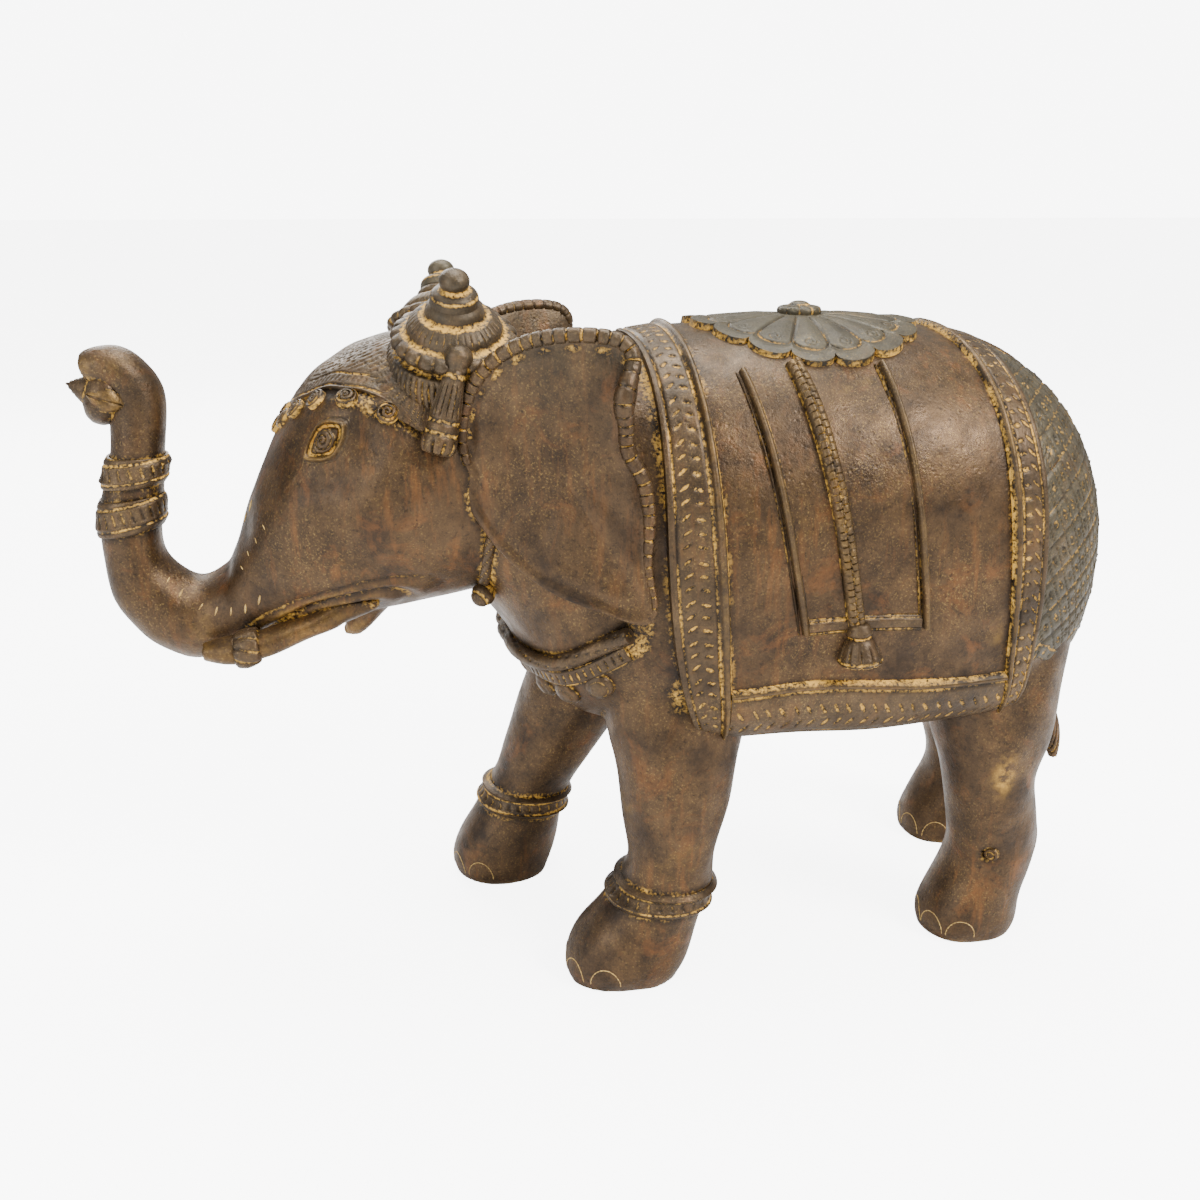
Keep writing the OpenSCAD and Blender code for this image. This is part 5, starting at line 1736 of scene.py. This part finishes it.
def makeFruit():
    spots = nodeSpots("trunk_bud")
    way = np.array((-1, 0, 0.35)) / np.linalg.norm((-1, 0, 0.35))
    tip = spots[np.argmax(spots @ way)]
    at = tip - way * fruitShape["tipAhead"] - np.array((0, 0, fruitShape["drop"]))

    def relief(turn, radius, height):
        rings = notches(height / 1.1, 0.6, 1.0) * fade(height, 3.4, 4.0)
        seams = hump(np.abs((turn * 4 / fullTurn) % 1 - 0.5) - 0.5, 0.06) * fade(height, 3.0, 1.5)
        neck = 0.7 * hump(height - 3.9, 0.4) + fade(height, -2.0, -5.0)
        return -0.25 * rings - 0.3 * seams, np.clip(rings * 0.3 + seams * 0.4 + neck, 0, 1)

    fruit = turned("trunkFruit", at, way, fruitShape["profile"], 72, relief)
    along, across = np.meshgrid(np.linspace(-1, 1, 26), np.linspace(-1, 1, 11), indexing="ij")
    width = fruitShape["leafWidth"] * np.clip(1.01 - along ** 2, 0, 1) ** 0.8
    out = (8.3 - 1.8 * along ** 2 - 1.1 * across ** 2 - 0.5 * hump(across, 0.10)) * mm
    top = at - way * 1.8 * mm + way * (along * fruitShape["leafHalf"])[..., None]
    top = top - np.array((0, 1, 0)) * out[..., None]
    top = top + np.cross(way, (0, 1, 0)) * (across * width)[..., None]
    sunk = [top[:, k] + np.array((0, 3 * mm, 0)) for k in (0, -1)]
    recess = np.clip(0.35 * hump(across, 0.1) + 0.7 * hump(np.abs(across) - 0.95, 0.12), 0, 1)
    leaf = slab("fruitLeaf", top, sunk, recess=recess, rub=0.28 * (1 - recess))
    return place(joined("trunkFruit", [fruit, leaf]), "agedBrass", "trunk_bud")


# chased cuts on the skin: x and z from the tusk cap's lower front corner and length, all in millimetres,
# and the lean in degrees
cutRows = {
    "trunkRise": [(-6, 17, 2.6, 60), (-1, 13.5, 2.2, 62), (3, 12.5, 2.6, 75), (7, 12.7, 2.6, 80),
                  (11, 14, 3.0, 75), (15, 17, 3.2, 70), (-9, 20.5, 2.0, 50)],
    "noseEdge": [(11, 25, 1.6, 150), (13, 29, 1.6, 145), (15.5, 33, 1.6, 140), (18, 37, 1.6, 140),
                 (14, 40, 3.4, 55), (12, 36, 3.0, 50)],
}
nailShape = {"half": 4.6 * mm, "tall": 6.2 * mm, "foot": 2.2 * mm, "cuts": 13, "cutSize": 0.78}


def makeSkinCuts():
    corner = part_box("tusk_cap_left")[0]
    spots, outs, alongs, sizes = [], [], [], []
    for side in (-1, 1):
        for rows in cutRows.values():
            for x, z, length, lean in rows:
                start = Vector((corner.x + x * mm, side * 80 * mm, corner.z + z * mm))
                hit, way = skinTree.ray_cast(start, Vector((0, -side, 0)))[:2]
                if hit is None:
                    continue
                turn = math.radians(lean)
                spots.append(hit)
                outs.append(way)
                alongs.append((math.cos(turn), 0, math.sin(turn)))
                sizes.append(length / 2)
    for at, way in toeSpots():      # a thin arc round each toenail
        flat = np.array((-way[1], way[0], 0))
        for turn in np.linspace(0.12, math.pi - 0.12, nailShape["cuts"]):
            spot = at + flat * nailShape["half"] * math.cos(turn)
            spot[2] = nailShape["foot"] + nailShape["tall"] * math.sin(turn)
            hit, out = skinTree.find_nearest(Vector(spot))[:2]
            along = -flat * nailShape["half"] * math.sin(turn)
            along = along + np.array((0, 0, nailShape["tall"] * math.cos(turn)))
            spots.append(hit)
            outs.append(out)
            alongs.append(tuple(along / np.linalg.norm(along)))
            sizes.append(nailShape["cutSize"])
    cuts = strewn("skinCuts", cutSliver(), spots, outs, alongs, sizes, "ochreFill")
    return place(cuts, "ochreFill")


for level, pitch in (("lower", 2.2 * mm), ("upper", 2.6 * mm)):
    makeChasedRing("trunkRing" + level.capitalize(), "trunk_ring_" + level, ringShape["lines"],
                   ringShape["tickBand"], pitch)
makeFruit()
makeSkinCuts()
print("trunk dressed")


# tusks, their ferrules and blunt caps

tuskShape = {
    "swell": 0.8 * mm,         # the tusk and its cap over their packed size
    "ferruleSwell": 1.15 * mm,
    "ferruleCuts": 9,
    "cutDepth": 0.5 * mm,
}


def makeTusk(tag):
    for part in ("tusk_", "tusk_cap_", "tusk_ferrule_"):
        node = part + tag
        ferrule = part == "tusk_ferrule_"
        name = "".join(word.capitalize() for word in node.split("_"))
        piece = cadCopy(name[0].lower() + name[1:], [node], levels=3, hardest=38)
        spots, ways = spotsOf(piece.data), normalsOf(piece.data)
        apart = spots - spots.mean(0)
        turn = np.arctan2(apart[:, 1], apart[:, 2])
        long = apart[:, 0]
        if ferrule:
            cut = notches(turn * tuskShape["ferruleCuts"] / fullTurn + long * 60, 0.6, 0.95)
            end = np.abs(long) / np.abs(long).max()
            rise = tuskShape["ferruleSwell"] * fade(end, 1.0, 0.8)
            rise = rise - tuskShape["cutDepth"] * cut * fade(end, 1.0, 0.7)
            recess = np.clip(cut * 0.4 + fade(end, 0.85, 1.0) * 0.6, 0, 1)
        else:
            rise = 0.16 * mm * np.sin(turn * 3 + long * 180) + 0.1 * mm * np.sin(long * 420)
            rise = rise + tuskShape["swell"]
            # recess mark where the tusk meets the head and its ferrule: ochre dust and painted shade
            gap = nearness(spots, ["head"], 1.6 * mm) + nearness(spots, ["tusk_ferrule_" + tag], 0.9 * mm)
            recess = np.minimum(gap, 1) * 0.55
        moveTo(piece.data, spots + ways * rise[:, None])
        addMark(piece.data, "recess", recess)
        addMark(piece.data, "rub", np.full(len(spots), 0.0 if ferrule else 0.12))
        place(softShade(piece, 60), "chasedBrass" if ferrule else "wornBrass", node)


for tag in ("left", "right"):
    makeTusk(tag)
print("tusks set")


# throat cord and its balls; collar cord, chased band and discs

neckShape = {
    "throatRadius": 1.6 * mm,
    "throatPitch": 4.2 * mm,   # length of one turn of the twist
    "collarRadius": 2.3 * mm,
    "collarPitch": 16.0 * mm,
    "strands": 4,
    "twistDepth": 0.4 * mm,
    "bandWidth": 6.2 * mm,
    "bandRise": 1.5 * mm,
    "lobe": [(0.05, 2.5), (1.8, 2.3), (3.3, 1.5), (4.1, 0.4), (4.0, -1.2)],
    "ball": [(0.05, 3.6), (1.2, 3.4), (2.6, 2.3), (3.3, 0.6), (3.2, -1.0), (2.2, -2.6), (0.05, -3.2)],
}


def twisted(pitch):
    def relief(turns, lengths):
        beat = np.abs(np.sin(turns * neckShape["strands"] / 2 + lengths * math.pi / pitch))
        cut = fade(beat, 0.42, 0.0)
        return -neckShape["twistDepth"] * cut, cut * 0.6
    return relief


def lobeRelief(turn, radius, height):
    ring = hump(radius - 2.7, 0.4)
    return -0.2 * ring, hump(height, 0.5) * 0.8 + 0.4 * hump(radius - 2.7, 0.3)


def ballRelief(turn, radius, height):
    cuts = notches(turn * 8 / fullTurn, 0.7, 1) * fade(height, 1.5, 0.9)
    recess = hump(height - 1.7, 0.35) + fade(height, 0.0, -1.5)
    return -0.3 * hump(height - 1.7, 0.3) - 0.2 * cuts, np.clip(recess, 0, 1)


def makeNeckDress():
    throat = smoothPath(crossLine("throat_cord", 60, 18), 420, 20)
    throatCord = rod("throatCord", throat, neckShape["throatRadius"], 18, twisted(neckShape["throatPitch"]))
    place(throatCord, "chasedBrass", "throat_cord")
    collar = crossLine("collar_cord", 520)
    collarCord = rod("collarCord", collar, neckShape["collarRadius"], 22, twisted(neckShape["collarPitch"]))
    place(collarCord, "chasedBrass", "collar_cord")
    spots, ways, along, across = bandOnSkin(crossLine("collar_band", 460), neckShape["bandWidth"], 22)
    lines = hump(np.abs(across) - 2.35 * mm, 0.32 * mm)
    ticks = chiselRow(across, along, 2.3 * mm, 0.1, 3.4 * mm, 0.36 * mm)
    edge = fade(neckShape["bandWidth"] / 2 - np.abs(across), 0, 0.5 * mm)
    rise = neckShape["bandRise"] * edge - 0.45 * mm * lines - 0.4 * mm * ticks
    band = skinSlab("collarBand", spots, ways, rise, 0.7 * lines + 0.85 * ticks + (1 - edge) * 0.4)
    place(band, "chasedBrass", "collar_band")
    discs = solidsIn("collar_pendants")
    places, outs = snapped(np.array([[d.mean(0) for d in discs]]), 0)
    lobe = turned("lobe", (0, 0, 0), (0, 0, 1), neckShape["lobe"], 48, lobeRelief)
    made = strewn("collarDiscs", lobe, places[0], outs[0], [(0, 0, 1)] * len(discs),
                  np.ones(len(discs)), "chasedBrass")
    place(made, "chasedBrass", "collar_pendants")
    balls = []
    for ball in solidsIn("throat_pendants"):
        middle = ball.mean(0)
        out = snapped(middle[None, None])[1][0, 0]
        balls.append(turned("ball", middle, out, neckShape["ball"], 40, ballRelief))
    return place(joined("throatBalls", balls), "chasedBrass", "throat_pendants")


makeNeckDress()
print("neck dressed")


# anklets, bell tassels, rosette boss, crupper strap, tail and the plug of the core pin

tasselShape = {
    "head": [(0.05, -0.6), (2.6, -0.4), (3.0, 1.0), (3.6, 2.0)],
    # radius, and height in shares of the tassel's length
    "skirt": [(3.0, 0.30), (4.1, 0.45), (5.3, 0.75), (6.2, 0.93), (5.7, 1.0)],
    "flutes": 10,
}


def makeTassel(tag, side):
    node = "bell_tassel_" + tag
    spots = nodeSpots(node)
    top = spots[spots[:, 2] > spots[:, 2].max() - 1.5 * mm].mean(0)
    foot = spots[spots[:, 2] < spots[:, 2].min() + 1.5 * mm].mean(0)
    length = np.linalg.norm(foot - top) / mm
    ends = reachOf([top, foot])
    ends = side * (np.abs(ends) - ribShape["higher"])
    top, foot = onBack(np.array([top[0], foot[0]]), ends, np.array([2.4 * mm, 3.4 * mm]))
    top, foot = np.array([top, foot]) + flareAt(np.array([top[0], foot[0]]), ends)
    way = (foot - top) / np.linalg.norm(foot - top)

    def relief(turn, radius, height):
        share = height / length
        flutes = notches(turn * tasselShape["flutes"] / fullTurn, 0.70, 1.0) * fade(share, 0.40, 0.60)
        rings = hump(share - 0.30, 0.03) + hump(share - 0.88, 0.025)
        return -0.4 * flutes - 0.4 * rings, np.clip(0.4 * flutes + rings + fade(share, 0.95, 1.0), 0, 1)

    skirt = [(radius, length * share) for radius, share in tasselShape["skirt"]]
    profile = tasselShape["head"] + skirt + [(3.0, length + 0.3), (0.05, length + 0.2)]
    tassel = turned("bellTassel" + tag.capitalize(), top, way, profile, 84, relief)
    return place(tassel, "chasedBrass", node)


bossShape = {
    "profile": [(0.05, 2.3), (1.4, 2.2), (2.5, 1.8), (2.8, 1.3), (3.3, 1.1), (5.3, 0.9), (6.1, 0.4),
                (6.3, -0.4), (6.0, -1.4)],
    "leaves": 10,
}


def makeBoss():
    low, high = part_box("rosette_boss")
    at = Vector(((low.x + high.x) / 2, 0, low.z))

    def relief(turn, radius, height):
        leaf = notches(turn * bossShape["leaves"] / fullTurn, 0.6, 1.0) * fade(radius, 2.9, 3.4)
        return -0.3 * leaf, np.clip(leaf * 0.6 + hump(radius - 3.0, 0.3), 0, 1)

    boss = turned("rosetteBoss", at, (0, 0, 1), bossShape["profile"], 80, relief)
    return place(boss, "greenedBrass", "rosette_boss")


strapShape = {"wider": 1.5, "lift": 1.0 * mm, "rise": 1.1 * mm}


def makeStrap():
    node = "crupper_strap"
    spots = nodeSpots(node)
    first = spots[:, 0].min() + 0.5 * mm
    last = min(spots[:, 0].max() - 0.5 * mm, backChart["stops"][-3])
    width = float(np.abs(reachOf(spots)).max()) * strapShape["wider"]
    path = np.stack([np.linspace(first, last, 120), np.zeros(120)], 1)
    x, reach, along, across = bandGrid(path, width, 40)
    ridge = np.sqrt(np.clip(1 - (across / (width / 2)) ** 2, 0, 1))
    lines = hump(np.abs(across) - 0.33 * width, 0.4 * mm)
    ticks = chiselRow(np.abs(across) - 0.16 * width, along, 3.4 * mm, 0.6, 2.6 * mm, 0.4 * mm)
    rise = strapShape["lift"] + strapShape["rise"] * ridge - 0.45 * mm * lines - 0.35 * mm * ticks
    recess = lines * 0.8 + ticks * 0.7 + fade(ridge, 0.3, 0)
    strap = laidOn("crupperStrap", x, reach, rise, recess, hung=False)
    return place(strap, "chasedBrass", node)


tailShape = {
    "swing": 9 * mm,           # rearwards, clear of the hind legs
    "swingFrom": 75 * mm,      # heights where the swing starts and is full
    "swingTo": 35 * mm,
    "braidDepth": 0.35 * mm,
    "hairs": 16,
    "hairDepth": 0.4 * mm,
    "bandRise": 0.6 * mm,
}


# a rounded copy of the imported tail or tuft, swung clear, and the turn of each point round it
def swungCopy(name, node, levels):
    piece = cadCopy(name, [node], levels=levels, hardest=60)
    spots, ways = spotsOf(piece.data), normalsOf(piece.data)
    spots[:, 0] += tailShape["swing"] * fade(spots[:, 2], tailShape["swingFrom"], tailShape["swingTo"])
    return piece, spots, ways, np.arctan2(spots[:, 1], spots[:, 0] - np.median(spots[:, 0]))


def makeTail():
    tail, spots, ways, turn = swungCopy("braidedTail", "tail", 3)
    braid = fade(np.abs(np.sin(spots[:, 2] * 520 + 1.2 * np.cos(turn * 2))), 0.35, 0.0)
    moveTo(tail.data, spots - ways * (tailShape["braidDepth"] * braid)[:, None])
    addMark(tail.data, "recess", braid * 0.7)
    place(softShade(tail, 70), "agedBrass", "tail")
    tuft, spots, ways, turn = swungCopy("tailTuft", "tail_tuft", 4)
    hair = notches(turn * tailShape["hairs"] / fullTurn + spots[:, 2] * 20, 0.5, 1.0)
    band = hump(spots[:, 2] - spots[:, 2].max() + 2.5 * mm, 1.0 * mm)
    hair = hair * (1 - band)
    rise = tailShape["bandRise"] * band - tailShape["hairDepth"] * hair
    moveTo(tuft.data, spots + ways * rise[:, None])
    addMark(tuft.data, "recess", np.clip(hair * 0.7, 0, 1))
    return place(softShade(tuft, 70), "agedBrass", "tail_tuft")


pinShape = {
    "profile": [(0.05, 0.35), (0.8, 0.35), (1.5, 0.35), (2.0, 0.0), (2.3, -0.8), (2.4, -4.0), (0.05, -4.2)],
    "lift": 1.0 * mm,
    "ringAt": 1.1,             # millimetres, the radius of the dent round its middle
}


def makePinPlug():
    low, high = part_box("core_pin")
    at = Vector(((low.x + high.x) / 2, low.y + 1.0 * mm, (low.z + high.z) / 2))
    skin, out = skinTree.find_nearest(at)[:2]

    def relief(turn, radius, height):
        fromRing = radius - pinShape["ringAt"]
        recess = 0.9 * hump(fromRing, 0.3) + 0.6 * fade(height, 0.0, -0.5)
        return 0.06 * np.sin(turn * 3) - 0.25 * hump(fromRing, 0.25), np.clip(recess, 0, 1)

    pin = turned("corePinPlug", skin + out * pinShape["lift"], out, pinShape["profile"], 40, relief, 0.2)
    return place(pin, "wornBrass", "core_pin")


for tag, side in bothSides:
    makeTassel(tag, side)
    makeChasedRing("anklet" + tag.capitalize(), "anklet_" + tag, ankletShape["lines"],
                   ankletShape["tickBand"], ankletShape["tickPitch"])
makeBoss()
makeStrap()
makeTail()
makePinPlug()
print("trim finished")


for name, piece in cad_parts.items():   # nodes shown as packed
    finish = "firedClay" if name == "clay_core" else "chasedBrass"
    for slot in piece.material_slots:
        slot.material = finishes[finish]

print("done")
